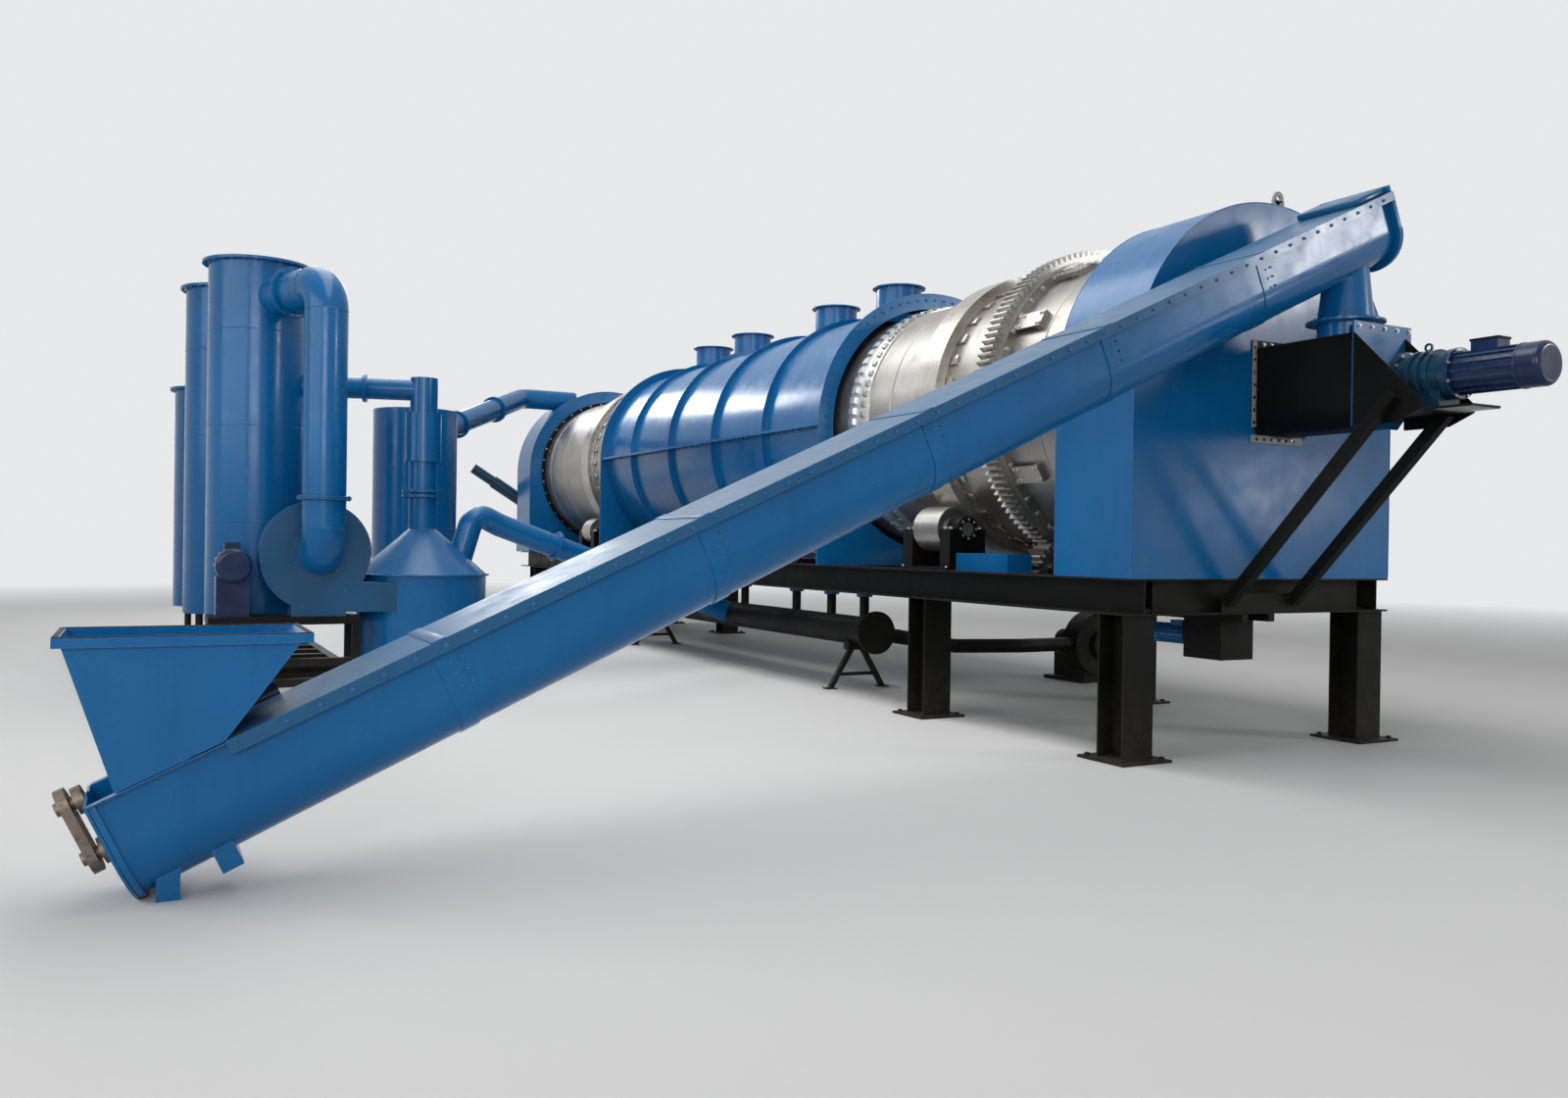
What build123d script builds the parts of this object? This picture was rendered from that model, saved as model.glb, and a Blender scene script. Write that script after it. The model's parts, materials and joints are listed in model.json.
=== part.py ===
from build123d import *
import math
import os

# Indirectly heated rotary kiln plant, in millimetres, with +X towards the feed
# end and +Z up from the floor. The pieces are made with y = 0 on the kiln's
# middle plane and x = 0 at the feed end of the deck, and are then moved to put
# the origin under the near base plate at the feed end.

# Kiln line
axisHeight = 2710.0
drumRadius = 1200.0
drumWall = 16.0
drumFeedEnd = -620.0
drumDischargeEnd = -14520.0

# Riding rings and their rollers
tyreRadius = 1300.0
tyreWidth = 320.0
tyrePlaces = [-2600.0, -11950.0]
stopRingRise = 30.0
stopRingThick = 35.0
rollerRadius = 200.0
rollerWidth = 380.0
rollerAngle = 45.0
shaftRadius = 60.0
shaftReach = 170.0
rollingGap = 0.3
runningFit = 0.05

# Girth gear and pinion
gearModule = 20.0
gearTeeth = 134
gearPlace = -1720.0
gearWidth = 180.0
gearRimDepth = 62.0
pinionTeeth = 17
pinionWidth = 210.0
pinionAngle = 24.0
pinionShaftRadius = 50.0
backlash = 3.0
pressureAngle = math.radians(20)
gearFlankSteps = 2
pinionFlankSteps = 5
flangeRadius = 1278.0
flangeWide = 40.0
springCount = 12
springLength = 330.0
springWide = 150.0
springThick = 14.0

# Gland ring of blocks beside the heating jacket
sealPlace = -3860.0
sealCount = 72
sealBandWide = 330.0
sealBandRise = 14.0
sealBlockRise = 22.0
sealBlockLong = 80.0
sealBlockWide = 62.0

# Deck of H beams on columns
deckTop = 1290.0
beamDepth = 260.0
beamWide = 280.0
beamFlange = 14.0
beamWeb = 10.0
deckGauge = 2450.0
deckFeedEnd = 50.0
deckDischargeEnd = -15250.0
columnPlaces = [-130.0, -2560.0, -11990.0, -14530.0]
columnLong = 260.0
basePlateSide = 460.0
basePlateThick = 20.0
baseHolePitch = 360.0
baseHoleRadius = 13.0
crossPlaces = [-25.0, -800.0, -2240.0, -2960.0, -4250.0, -6650.0, -8950.0,
               -10780.0, -11590.0, -12310.0, -14300.0, -15170.0]
crossWide = 150.0
bearerPlaces = [-1480.0, -1960.0]
bearerDepth = 120.0
oilBoxEnds = (-2200.0, -1500.0)
oilBoxSides = (-1210.0, -960.0)
oilBoxTall = 150.0

# Hoods over the two ends of the drum
hoodPlate = 10.0
hoodDrumGap = 25.0
feedHoodRadius = 1360.0
feedHoodFront = 50.0
feedHoodBack = -750.0
dischargeHoodRadius = 1460.0
dischargeHoodFront = -14400.0
dischargeHoodBack = -15200.0

# Heating jacket
jacketRadius = 1330.0
jacketWall = 12.0
jacketPlate = 14.0
jacketPlateRadius = 1440.0
jacketDrumGap = 75.0
jacketFeedEnd = -4250.0
jacketDischargeEnd = -10780.0
ribPlaces = [-5620.0, -6975.0, -8330.0, -9685.0]
ribThick = 14.0
ribRise = 60.0
seamWide = 90.0
seamThick = 14.0
stubPlaces = [-5020.0, -6400.0, -8680.0, -9980.0]
stubRadius = 250.0
stubWall = 10.0
stubTop = axisHeight + 1640.0

# Screw feeder on the feed hood
feederCentre = 110.0
feederWidth = 530.0
feederTop = axisHeight + 280.0
feederBottom = axisHeight - 360.0
feederCorner = 150.0
feederLength = 800.0
feederWall = 8.0
feederRim = 55.0
feederPlate = 14.0
endPlateSides = (-160.0, 440.0)
endPlateRise = 80.0
endPlateCut = 130.0
inletPlace = 650.0
inletAcross = 30.0
inletRadius = 185.0
inletWall = 6.0
inletTop = feederTop + 115.0
inletFlangeThick = 14.0
inletFlangeReach = 75.0
coneTopRadius = 130.0
driveHeight = axisHeight - 50.0
lanternLong = 190.0
lanternRadius = 105.0
gearboxFlange = 184.0
gearboxLength = 570.0
motorLength = 584.0
motorRadius = 140.0
shelfDrop = 215.0
shelfLength = 756.0
shelfTongue = 300.0
shelfThick = 16.0
gussetLong = 505.0
gussetFoot = 330.0
gussetThick = 10.0
strutWide = 70.0
strutDeep = 80.0
strutFeet = (-417.0, 254.0)
strutHeads = (-196.0, 300.0)
strutReaches = (1189.0, 1235.0)
strutRises = (95.0, -10.0)

# Inclined screw conveyor
conveyorPlace = 650.0
conveyorPitch = 24.6
conveyorWidth = 464.0
conveyorDepth = 464.0
conveyorWall = 6.0
conveyorHeadY = 126.0
conveyorHeadZ = 3962.0
conveyorLength = 8484.0
coverReach = 45.0
coverDrop = 60.0
jointPlaces = [1322.0, 2744.0, 4126.0, 5569.0, 6961.0]
strapWide = 90.0
strapThick = 6.0
endPlateThick = 12.0
headRim = 45.0
footRim = 14.0
chainReach = 230.0
chainOuter = 75.0
chainInner = 58.0
chainWide = 40.0
chainOffset = 55.0
conveyorMotorLong = 360.0
conveyorMotorRadius = 80.0
conveyorMotorFromEnd = 830.0
footFromEnd = 110.0
lugFromEnd = 310.0
lugDrop = 55.0
footWide = 300.0
footLong = 90.0

# Charge hopper at the conveyor's low end
hopperTop = 1096.0
hopperMouthLong = 908.0
hopperThroatLong = 434.0
hopperThroatFromEnd = 110.0
hopperOverhang = 200.0
hopperWall = 6.0
hopperRim = 40.0

# Burner manifold under the jacket
manifoldY = -760.0
manifoldZ = 600.0
manifoldRadius = 150.0
manifoldFeedEnd = -4200.0
manifoldDischargeEnd = -10500.0
manifoldDisc = 220.0
manifoldDiscThick = 30.0
riserPlaces = [-4420.0, -5100.0, -5900.0, -7250.0, -7900.0, -8600.0, -9300.0]
riserRadius = 50.0
trestlePlaces = [-4560.0, -10200.0]
trestleSpread = 640.0
trestleBar = 50.0

# Kiln drive hung on rails under the deck
drivePlace = (-520.0, -90.0, 830.0)
driveBoxLong = 370.0
driveMotorLong = 420.0
driveMotorRadius = 80.0
driveBoxTall = 320.0
driveBoxWide = 340.0
railDepth = 60.0
railReach = 70.0

# Combustion blower on the floor behind the deck
blowerPlace = (-4200.0, 2070.0, 430.0)
blowerRadius = 360.0
blowerWide = 230.0
airPipeRadius = 75.0
airPipeJoin = -4285.0
airPipeTurns = (1000.0, 300.0)

# Gas cleaning group beside the kiln
towerPlaces = [(-7680.0, -6350.0), (-9350.0, -6510.0), (-10970.0, -6580.0)]
towerTops = [4350.0, 4350.0, 3350.0]
towerBottom = 600.0
towerRadius = 480.0
towerWall = 6.0
towerRim = 60.0
lidThick = 14.0
legRadius = 30.0
skidTop = 160.0
skidEnds = (-11600.0, -7200.0)
skidSides = (-7080.0, -5450.0)
skidWide = 100.0
fanCentre = (-6620.0, -5830.0, 1330.0)
fanRadius = 530.0
fanGrowth = 60.0
fanWide = 330.0
fanInlet = 206.0
fanOutletTall = 300.0
fanFootThick = 20.0
fanFootReach = 260.0
standTop = 700.0
standBack = -7180.0
ductWall = 6.0
ductX = -6330.0
ductTop = 3980.0
ductBend = 255.0
tankPlace = (-7200.0, -4710.0)
tankRadius = 680.0
tankWall = 8.0
tankTop = 1120.0
coneTop = 1600.0
neckRadius = 145.0
stackFlange = 1990.0
sleeveRadius = 187.0
sleeveBottom = 2330.0
sleeveTop = 2860.0
stackTop = 3240.0
crossPipeRadius = 115.0
crossPipeZ = 3110.0
rearTowerPlace = (-11600.0, -3950.0)
rearTowerRadius = 580.0
rearTowerTop = 3310.0
gasPipeRadius = 170.0
gasPipeZ = axisHeight + 1280.0
gasPipeTurns = (-560.0, -1520.0)
gasPipeDip = 400.0
gasPipeStart = -14800.0
fuelPipeRadius = 130.0

# Worked out from the values above
sides = (-1, 1)
deckBottom = deckTop - beamDepth
beamInner = (deckGauge - beamWide) / 2
drumOpening = drumRadius + hoodDrumGap
pitchRadius = gearModule * gearTeeth / 2
pinionPitchRadius = gearModule * pinionTeeth / 2
feederEnd = feedHoodFront + feederLength
driveStart = feederEnd + feederPlate
shelfTop = driveHeight - shelfDrop
feederNear = feederCentre - feederWidth / 2
feederFar = feederCentre + feederWidth / 2
slope = math.radians(conveyorPitch)
down = Vector(0, -math.cos(slope), -math.sin(slope))
square = Vector(0, -math.sin(slope), math.cos(slope))
conveyorHead = Vector(conveyorPlace, conveyorHeadY, conveyorHeadZ)


def block(x0, x1, y0, y1, z0, z1):
    middle = ((x0 + x1) / 2, (y0 + y1) / 2, (z0 + z1) / 2)
    return Pos(*middle) * Box(abs(x1 - x0), abs(y1 - y0), abs(z1 - z0))


def pipe(start, end, outer, inner=0.0):
    """Round bar or tube from one point to another."""
    line = Vector(*end) - Vector(*start)
    face = Circle(outer)
    if inner > 0:
        face -= Circle(inner)
    return extrude(Plane(origin=start, z_dir=line) * face, line.length)


def alongX(x0, x1, y, z, outer, inner=0.0):
    return pipe((x0, y, z), (x1, y, z), outer, inner)


def alongZ(x, y, z0, z1, outer, inner=0.0):
    return pipe((x, y, z0), (x, y, z1), outer, inner)


def bentPipe(points, bend, outer, inner=0.0):
    """Tube through the points, with a round elbow at each corner."""
    line = FilletPolyline(*points, radius=bend)
    face = Circle(outer)
    if inner > 0:
        face -= Circle(inner)
    return sweep(Plane(origin=line @ 0, z_dir=line % 0) * face, path=line)


def upright(x, y=0.0, z=0.0):
    """Plane that faces +X, with its own x along +Y and its own y up."""
    return Plane(origin=(x, y, z), x_dir=(0, 1, 0), z_dir=(1, 0, 0))


def archFace(radius, bottom):
    """Half round top on straight sides that run down to a height."""
    drop = axisHeight - bottom
    top = Circle(radius) & Pos(0, radius / 2) * Rectangle(2 * radius, radius)
    return top + Pos(0, -drop / 2) * Rectangle(2 * radius, drop)


def arch(x0, x1, radius, bottom):
    return extrude(upright(x0, 0, axisHeight) * archFace(radius, bottom), x1 - x0)


def hSection(deep, wide):
    """H profile with its web upright."""
    flange = Rectangle(wide, beamFlange)
    lift = (deep - beamFlange) / 2
    return Rectangle(beamWeb, deep) + Pos(0, lift) * flange + Pos(0, -lift) * flange


def crossBeam(x, low, deep):
    plane = Plane(origin=(x, -beamInner, low + deep / 2), x_dir=(-1, 0, 0), z_dir=(0, 1, 0))
    return extrude(plane * hSection(deep, crossWide), 2 * beamInner)


# Deck

def makeBeams():
    length = deckFeedEnd - deckDischargeEnd
    section = hSection(beamDepth, beamWide)
    return [extrude(upright(deckDischargeEnd, side * deckGauge / 2, deckTop - beamDepth / 2) * section, length)
            for side in sides]


def makeCrossBeams():
    return [crossBeam(x, deckBottom, beamDepth) for x in crossPlaces]


def makeBearerBeams():
    return [crossBeam(x, deckBottom, bearerDepth) for x in bearerPlaces]


def makeOilBox():
    return [block(*oilBoxEnds, *oilBoxSides, deckTop, deckTop + oilBoxTall)]


def makeColumns(side):
    columns = []
    for x in columnPlaces:
        plane = Plane(origin=(x, side * deckGauge / 2, basePlateThick))
        section = Rot(0, 0, 90) * hSection(columnLong, beamWide)
        columns.append(extrude(plane * section, deckBottom - basePlateThick))
    return columns


def makeBasePlates():
    plates = []
    for x in columnPlaces:
        for side in sides:
            y = side * deckGauge / 2
            plate = Pos(x, y, basePlateThick / 2) * Box(basePlateSide, basePlateSide, basePlateThick)
            for dx in sides:
                for dy in sides:
                    plate -= alongZ(x + dx * baseHolePitch / 2, y + dy * baseHolePitch / 2,
                                    -1, basePlateThick + 1, baseHoleRadius)
            plates.append(plate)
    return plates


# Hoods

def hoodWrap(x0, x1, radius):
    """Wall that wraps round between a hood's two end plates."""
    inside = arch(x0 - 1, x1 + 1, radius - hoodPlate, deckTop + hoodPlate)
    return arch(x0, x1, radius, deckTop) - inside


def makeFeedHood():
    return [hoodWrap(feedHoodBack + hoodPlate, feedHoodFront - hoodPlate, feedHoodRadius)]


def makeFeedHoodFront():
    plate = arch(feedHoodFront - hoodPlate, feedHoodFront, feedHoodRadius, deckTop)
    return [plate - feederBody(feedHoodFront - 2 * hoodPlate, feedHoodFront + 1, feederWall)]


def makeFeedHoodRing():
    plate = arch(feedHoodBack, feedHoodBack + hoodPlate, feedHoodRadius, deckTop)
    return [plate - alongX(feedHoodBack - 1, feedHoodBack + hoodPlate + 1, 0, axisHeight, drumOpening)]


def makeDischargeHood():
    wrap = hoodWrap(dischargeHoodBack + hoodPlate, dischargeHoodFront - hoodPlate, dischargeHoodRadius)
    return [wrap - gasPipe(gasPipeRadius)]


def makeDischargeHoodRing():
    plate = arch(dischargeHoodFront - hoodPlate, dischargeHoodFront, dischargeHoodRadius, deckTop)
    hole = alongX(dischargeHoodFront - 2 * hoodPlate, dischargeHoodFront + 1, 0, axisHeight, drumOpening)
    return [plate - hole]


def makeDischargeHoodBack():
    return [arch(dischargeHoodBack, dischargeHoodBack + hoodPlate, dischargeHoodRadius, deckTop)]


# Screw feeder

def feederBody(x0, x1, inset=0.0):
    """Trough with rounded lower corners, set in by a wall."""
    height = feederTop - feederBottom - 2 * inset
    face = Rectangle(feederWidth - 2 * inset, height)
    face = fillet(face.vertices().group_by(Axis.Y)[0], feederCorner - inset)
    return extrude(upright(x0, feederCentre, (feederTop + feederBottom) / 2) * face, x1 - x0)


def makeFeederTrough():
    trough = feederBody(feedHoodFront, feederEnd)
    rim = feederBody(feedHoodFront, feedHoodFront + feederWall, -feederRim)
    inside = feederBody(feedHoodFront - 1, feederEnd + 1, feederWall)
    mouth = alongZ(inletPlace, inletAcross, feederTop - 2 * feederWall, feederTop + 1, inletRadius - inletWall)
    return [trough + rim - inside - mouth]


def makeFeederEndPlate():
    near, far = endPlateSides
    top = feederTop + endPlateRise
    outline = Polyline((near, top), (far, top), (far, feederBottom + endPlateCut), (far - endPlateCut, feederBottom),
                       (near, feederBottom), close=True)
    return [extrude(upright(feederEnd) * make_face(outline), feederPlate)]


def conveyorBottomZ(y):
    """Height of the trough's underside at a place across the kiln."""
    top = conveyorHeadZ - (conveyorHeadY - y) * math.tan(slope)
    return top - conveyorDepth / math.cos(slope)


def makeFeedChute():
    neck = alongZ(inletPlace, inletAcross, feederTop, inletTop, inletRadius, inletRadius - inletWall)
    flange = alongZ(inletPlace, inletAcross, inletTop - inletFlangeThick, inletTop, inletRadius + inletFlangeReach,
                    inletRadius - inletWall)
    high = conveyorBottomZ(inletAcross) + conveyorDepth / 2
    base = Plane(origin=(inletPlace, inletAcross, inletTop))
    tip = Plane(origin=(conveyorPlace, inletAcross, high))
    cone = loft([base * Circle(inletRadius), tip * Circle(coneTopRadius)])
    cone -= loft([base * Circle(inletRadius - inletWall), tip * Circle(coneTopRadius - inletWall)])
    return [neck + flange + cone - conveyorBody(0, conveyorLength)]


def makeFeederGearbox():
    """Lantern, flange, ribbed gear case and motor flange in a row."""
    case = driveStart + lanternLong
    end = driveStart + gearboxLength
    body = alongX(driveStart, case, feederCentre, driveHeight, lanternRadius)
    body += alongX(case, case + 40, feederCentre, driveHeight, gearboxFlange)
    body += alongX(case + 40, end - 36, feederCentre, driveHeight, gearboxFlange * 0.8)
    for place in (110, 175, 240):
        body += alongX(case + place, case + place + 24, feederCentre, driveHeight, gearboxFlange * 0.95)
    body += alongX(end - 36, end, feederCentre, driveHeight, gearboxFlange * 0.9)
    half = lanternRadius
    return [body + block(case + 60, end - 60, feederCentre - half, feederCentre + half, shelfTop, driveHeight)]


def motor(length, radius):
    """Finned motor along +X from the origin, with its cowl and terminal box."""
    cowlStart = 0.72 * length
    body = alongX(0, cowlStart, 0, 0, radius * 0.9)
    fins = 16
    for index in range(fins):
        fin = block(0.05 * length, cowlStart, -0.04 * radius, 0.04 * radius, radius * 0.8, radius)
        body += Rot(360 * index / fins, 0, 0) * fin
    cowl = alongX(cowlStart, length, 0, 0, radius)
    cowl = fillet(cowl.edges().filter_by(GeomType.CIRCLE).sort_by(Axis.X)[-1], radius * 0.25)
    half = 0.45 * radius
    return body + cowl + block(0.2 * length, 0.5 * length, -half, half, 0.5 * radius, 1.35 * radius)


def makeFeederMotor():
    return [Pos(driveStart + gearboxLength, feederCentre, driveHeight) * motor(motorLength, motorRadius)]


def makeFeederShelf():
    """Shelf between two gussets on the end plate, with a tongue under the motor."""
    low = shelfTop - shelfThick
    shelf = block(driveStart, driveStart + gussetLong, feederNear, feederFar, low, shelfTop)
    shelf += block(driveStart, driveStart + shelfLength, feederCentre - shelfTongue / 2,
                   feederCentre + shelfTongue / 2, low, shelfTop)
    outline = Polyline((driveStart, feederTop), (driveStart + gussetLong, shelfTop + 40), (driveStart + gussetLong, low),
                       (driveStart + gussetFoot, feederBottom), (driveStart, feederBottom), close=True)
    for y in (feederNear - gussetThick, feederFar):
        plane = Plane(origin=(0, y + gussetThick, 0), x_dir=(1, 0, 0), z_dir=(0, -1, 0))
        shelf += extrude(plane * make_face(outline), gussetThick)
    return [shelf]


def makeFeederStruts():
    """Two leaning struts from the deck's end to the shelf."""
    beamFace = deckFeedEnd + 12
    low = deckBottom + 85
    frame = block(deckFeedEnd, beamFace, strutFeet[0] - strutWide, strutFeet[1] + strutWide, low - 70, low + 70)
    for footY, headY, headX, rise in zip(strutFeet, strutHeads, strutReaches, strutRises):
        foot = Vector(deckFeedEnd + 6, footY, low)
        head = Vector(headX, headY, shelfTop + rise)
        plane = Plane(origin=foot, x_dir=(0, 1, 0), z_dir=head - foot)
        frame += extrude(plane * Rectangle(strutWide, strutDeep), (head - foot).length)
    behind = block(-strutDeep * 3, deckFeedEnd, strutFeet[0] - 200, strutFeet[1] + 200, 0, deckTop)
    over = block(driveStart, driveStart + gussetLong, strutHeads[1] - 100, strutHeads[1] + 100,
                 shelfTop, shelfTop + strutDeep)
    return [frame - behind - over]


# Inclined conveyor

def onConveyor(along, lift, place=conveyorPlace):
    point = conveyorHead + down * along + square * lift
    return Vector(place, point.Y, point.Z)


def conveyorPlane(along):
    """Plane across the trough, its own x along +X and its own y square to the cover."""
    return Plane(origin=onConveyor(along, 0), x_dir=(1, 0, 0), z_dir=down)


def troughFace(inset=0.0):
    """Trough profile with a half round bottom, its top on the cover line."""
    half = conveyorWidth / 2
    straight = conveyorDepth - half
    return (Pos(0, -straight) * Circle(half - inset)
            + Pos(0, -straight / 2) * Rectangle(2 * (half - inset), straight))


def conveyorBody(start, end, inset=0.0):
    return extrude(conveyorPlane(start) * troughFace(inset), end - start)


def outletHole():
    middle = conveyorBottomZ(inletAcross)
    return alongZ(conveyorPlace, inletAcross, middle - conveyorDepth / 2, middle + conveyorDepth / 2,
                  coneTopRadius - inletWall)


def makeConveyorTrough():
    trough = conveyorBody(0, conveyorLength) - conveyorBody(-1, conveyorLength + 1, conveyorWall)
    half = conveyorWidth / 2
    for side in sides:
        lip = Pos(side * (half + coverReach / 2), -conveyorWall / 2) * Rectangle(coverReach, conveyorWall)
        trough += extrude(conveyorPlane(0) * lip, conveyorLength)
    return [trough - outletHole()]


def makeConveyorCover():
    half = conveyorWidth / 2 + coverReach
    face = Pos(0, conveyorWall / 2) * Rectangle(2 * half, conveyorWall)
    for side in sides:
        skirt = Rectangle(conveyorWall, coverDrop)
        face += Pos(side * (half + conveyorWall / 2), conveyorWall - coverDrop / 2) * skirt
    return [extrude(conveyorPlane(0) * face, throatStart())]


def throatStart():
    return conveyorLength - hopperThroatFromEnd - hopperThroatLong


def makeConveyorStraps():
    straps = []
    for place in jointPlaces:
        strap = extrude(conveyorPlane(place) * troughFace(-strapThick), strapWide)
        strap -= extrude(conveyorPlane(place - 1) * troughFace(0), strapWide + 2)
        lowered = Pos(0, -conveyorDepth / 2 - coverDrop) * Rectangle(2 * conveyorWidth, conveyorDepth)
        straps.append(strap & extrude(conveyorPlane(place) * lowered, strapWide))
    return straps


def makeConveyorEnds():
    head = extrude(conveyorPlane(-endPlateThick) * troughFace(-headRim), endPlateThick)
    foot = extrude(conveyorPlane(conveyorLength) * troughFace(-footRim), endPlateThick)
    return [head, foot]


def makeConveyorFeet():
    """Foot on the floor by the low end, and a lug further up."""
    half = footWide / 2
    low = onConveyor(conveyorLength - footFromEnd, -conveyorDepth)
    foot = block(conveyorPlace - half, conveyorPlace + half, low.Y - footLong / 2, low.Y + footLong / 2,
                 0, low.Z + conveyorDepth / 3)
    lug = Pos(0, -conveyorDepth) * Rectangle(footWide, 2 * lugDrop)
    lug = extrude(conveyorPlane(conveyorLength - lugFromEnd - footLong) * lug, footLong)
    core = conveyorBody(0, conveyorLength)
    return [foot - core, lug - core]


def makeConveyorDrive():
    """Chain loop on two wheels, their shafts in bearings on the low end plate."""
    face = conveyorLength + endPlateThick
    low = conveyorWidth / 2 - conveyorDepth

    def wheelPlane(along, lift):
        return Plane(origin=onConveyor(face + along, lift), x_dir=square, z_dir=down)

    loop = SlotCenterToCenter(chainReach, 2 * chainOuter) - SlotCenterToCenter(chainReach, 2 * chainInner)
    drive = extrude(wheelPlane(chainOffset, low + chainReach / 2) * loop, chainWide)
    for lift in (low, low + chainReach):
        drive += extrude(wheelPlane(chainOffset, lift) * Circle(chainInner), chainWide)
        drive += extrude(wheelPlane(0, lift) * Circle(chainInner / 2), chainOffset + chainWide + 20)
        drive += extrude(wheelPlane(0, lift) * Circle(chainInner), chainOffset * 0.7)
    return [drive]


def makeConveyorMotor():
    """Motor on a bracket at the far side of the trough."""
    aside = conveyorWidth / 2 + coverReach + conveyorMotorRadius + 10
    place = onConveyor(conveyorLength - conveyorMotorFromEnd, 10, conveyorPlace - aside)
    turned = Location(Plane(origin=place, x_dir=down, z_dir=square))
    low = -(coverDrop + 70.0)
    high = -(coverDrop + 6.0)
    bracket = block(60, 220, -conveyorMotorRadius * 0.7, aside - conveyorWidth / 2, low, high)
    return [turned * (motor(conveyorMotorLong, conveyorMotorRadius) + bracket)]


def makeChargeHopper():
    """Open hopper that flares along the conveyor only."""
    start = throatStart()
    a = onConveyor(start, conveyorWall)
    b = onConveyor(start + hopperThroatLong, conveyorWall)
    lowY = b.Y - hopperOverhang
    highY = lowY + hopperMouthLong
    half = conveyorWidth / 2 + coverReach

    def prism(inset, lift):
        outline = Polyline((a.Y - inset, a.Z - lift), (b.Y + inset, b.Z - lift), (lowY + inset, hopperTop + lift),
                           (highY - inset, hopperTop + lift), close=True)
        width = 2 * (half - inset)
        return extrude(upright(conveyorPlace - width / 2) * make_face(outline), width)

    rim = block(conveyorPlace - half - hopperRim / 2, conveyorPlace + half + hopperRim / 2,
                lowY - hopperRim / 2, highY + hopperRim / 2, hopperTop - hopperRim, hopperTop)
    return [prism(0, 0) + rim - prism(hopperWall, 1)]


# Heating jacket

def halfSpace(side):
    """Block that covers everything above or below the seam."""
    span = 2 * jacketPlateRadius
    edges = sorted((axisHeight, axisHeight + side * span))
    return block(jacketDischargeEnd - 1, jacketFeedEnd + 1, -span, span, edges[0], edges[1])


def stubTube(x, radius):
    return alongZ(x, 0, axisHeight, stubTop, radius)


def makeJacketHalf(side):
    """Half shell with its ribs and its seam flange."""
    shell = alongX(jacketDischargeEnd, jacketFeedEnd, 0, axisHeight, jacketRadius)
    for x in ribPlaces:
        shell += alongX(x - ribThick / 2, x + ribThick / 2, 0, axisHeight, jacketRadius + ribRise)
    edges = sorted((axisHeight, axisHeight + side * seamThick))
    reach = jacketRadius + seamWide
    shell += block(jacketDischargeEnd, jacketFeedEnd, -reach, reach, edges[0], edges[1])
    shell -= alongX(jacketDischargeEnd - 1, jacketFeedEnd + 1, 0, axisHeight, jacketRadius - jacketWall)
    shell = shell & halfSpace(side)
    if side > 0:
        for x in stubPlaces:
            shell -= stubTube(x, stubRadius - stubWall)
    return [shell]


def makeJacketPlates():
    plates = []
    for x in (jacketDischargeEnd - jacketPlate, jacketFeedEnd):
        plate = arch(x, x + jacketPlate, jacketPlateRadius, deckTop)
        plate -= alongX(x - 1, x + jacketPlate + 1, 0, axisHeight, drumRadius + jacketDrumGap)
        plates.append(plate)
    return plates


def makeJacketStubs():
    core = alongX(jacketDischargeEnd, jacketFeedEnd, 0, axisHeight, jacketRadius)
    return [stubTube(x, stubRadius) - stubTube(x, stubRadius - stubWall) - core for x in stubPlaces]


# Drum and what turns with it

def makeDrumShell():
    return [alongX(drumDischargeEnd, drumFeedEnd, 0, axisHeight, drumRadius, drumRadius - drumWall)]


def makeTyres():
    """Riding rings on their filler bars, with a stop ring each side."""
    tyres = []
    for x in tyrePlaces:
        half = tyreWidth / 2
        tyre = alongX(x - half, x + half, 0, axisHeight, tyreRadius)
        for side in sides:
            edge = x + side * half
            ring = alongX(*sorted((edge, edge + side * stopRingThick)), 0, axisHeight, drumRadius + stopRingRise)
            tyre += ring
        outer = x - half - stopRingThick - 1
        tyres.append(tyre - alongX(outer, 2 * x - outer, 0, axisHeight, drumRadius))
    return tyres


def involute(angle):
    return math.tan(angle) - angle


def toothedFace(teeth, inner, flankSteps):
    """Spur gear face with involute flanks, thinned by the backlash."""
    pitch = gearModule * teeth / 2
    root = pitch - 1.25 * gearModule
    base = pitch * math.cos(pressureAngle)
    step = 2 * math.pi / teeth
    pitchHalf = step / 4 - backlash / (2 * pitch)
    flank = []
    for index in range(flankSteps + 1):
        radius = root + (2.25 * gearModule) * index / flankSteps
        lean = math.acos(min(1.0, base / radius))
        flank.append((radius, pitchHalf + involute(pressureAngle) - involute(lean)))
    points = []
    for tooth in range(teeth):
        middle = step * tooth
        outline = [(radius, middle - half) for radius, half in flank]
        outline += [(radius, middle + half) for radius, half in reversed(flank)]
        points += [(radius * math.cos(turn), radius * math.sin(turn)) for radius, turn in outline]
    return make_face(Polyline(*points, close=True)) - Circle(inner)


def pinionCentre():
    reach = pitchRadius + pinionPitchRadius
    lean = math.radians(pinionAngle)
    return -reach * math.sin(lean), axisHeight - reach * math.cos(lean)


def makeGirthGear():
    """Toothed ring turned so that a tooth space faces the pinion."""
    step = 360 / gearTeeth
    face = toothedFace(gearTeeth, pitchRadius - 1.25 * gearModule - gearRimDepth, gearFlankSteps)
    towards = 270 - pinionAngle
    spin = towards - step * (math.floor(towards / step) + 0.5)
    plane = upright(gearPlace - gearWidth / 2, 0, axisHeight)
    return [extrude(plane * Rot(0, 0, spin) * face, gearWidth)]


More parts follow.
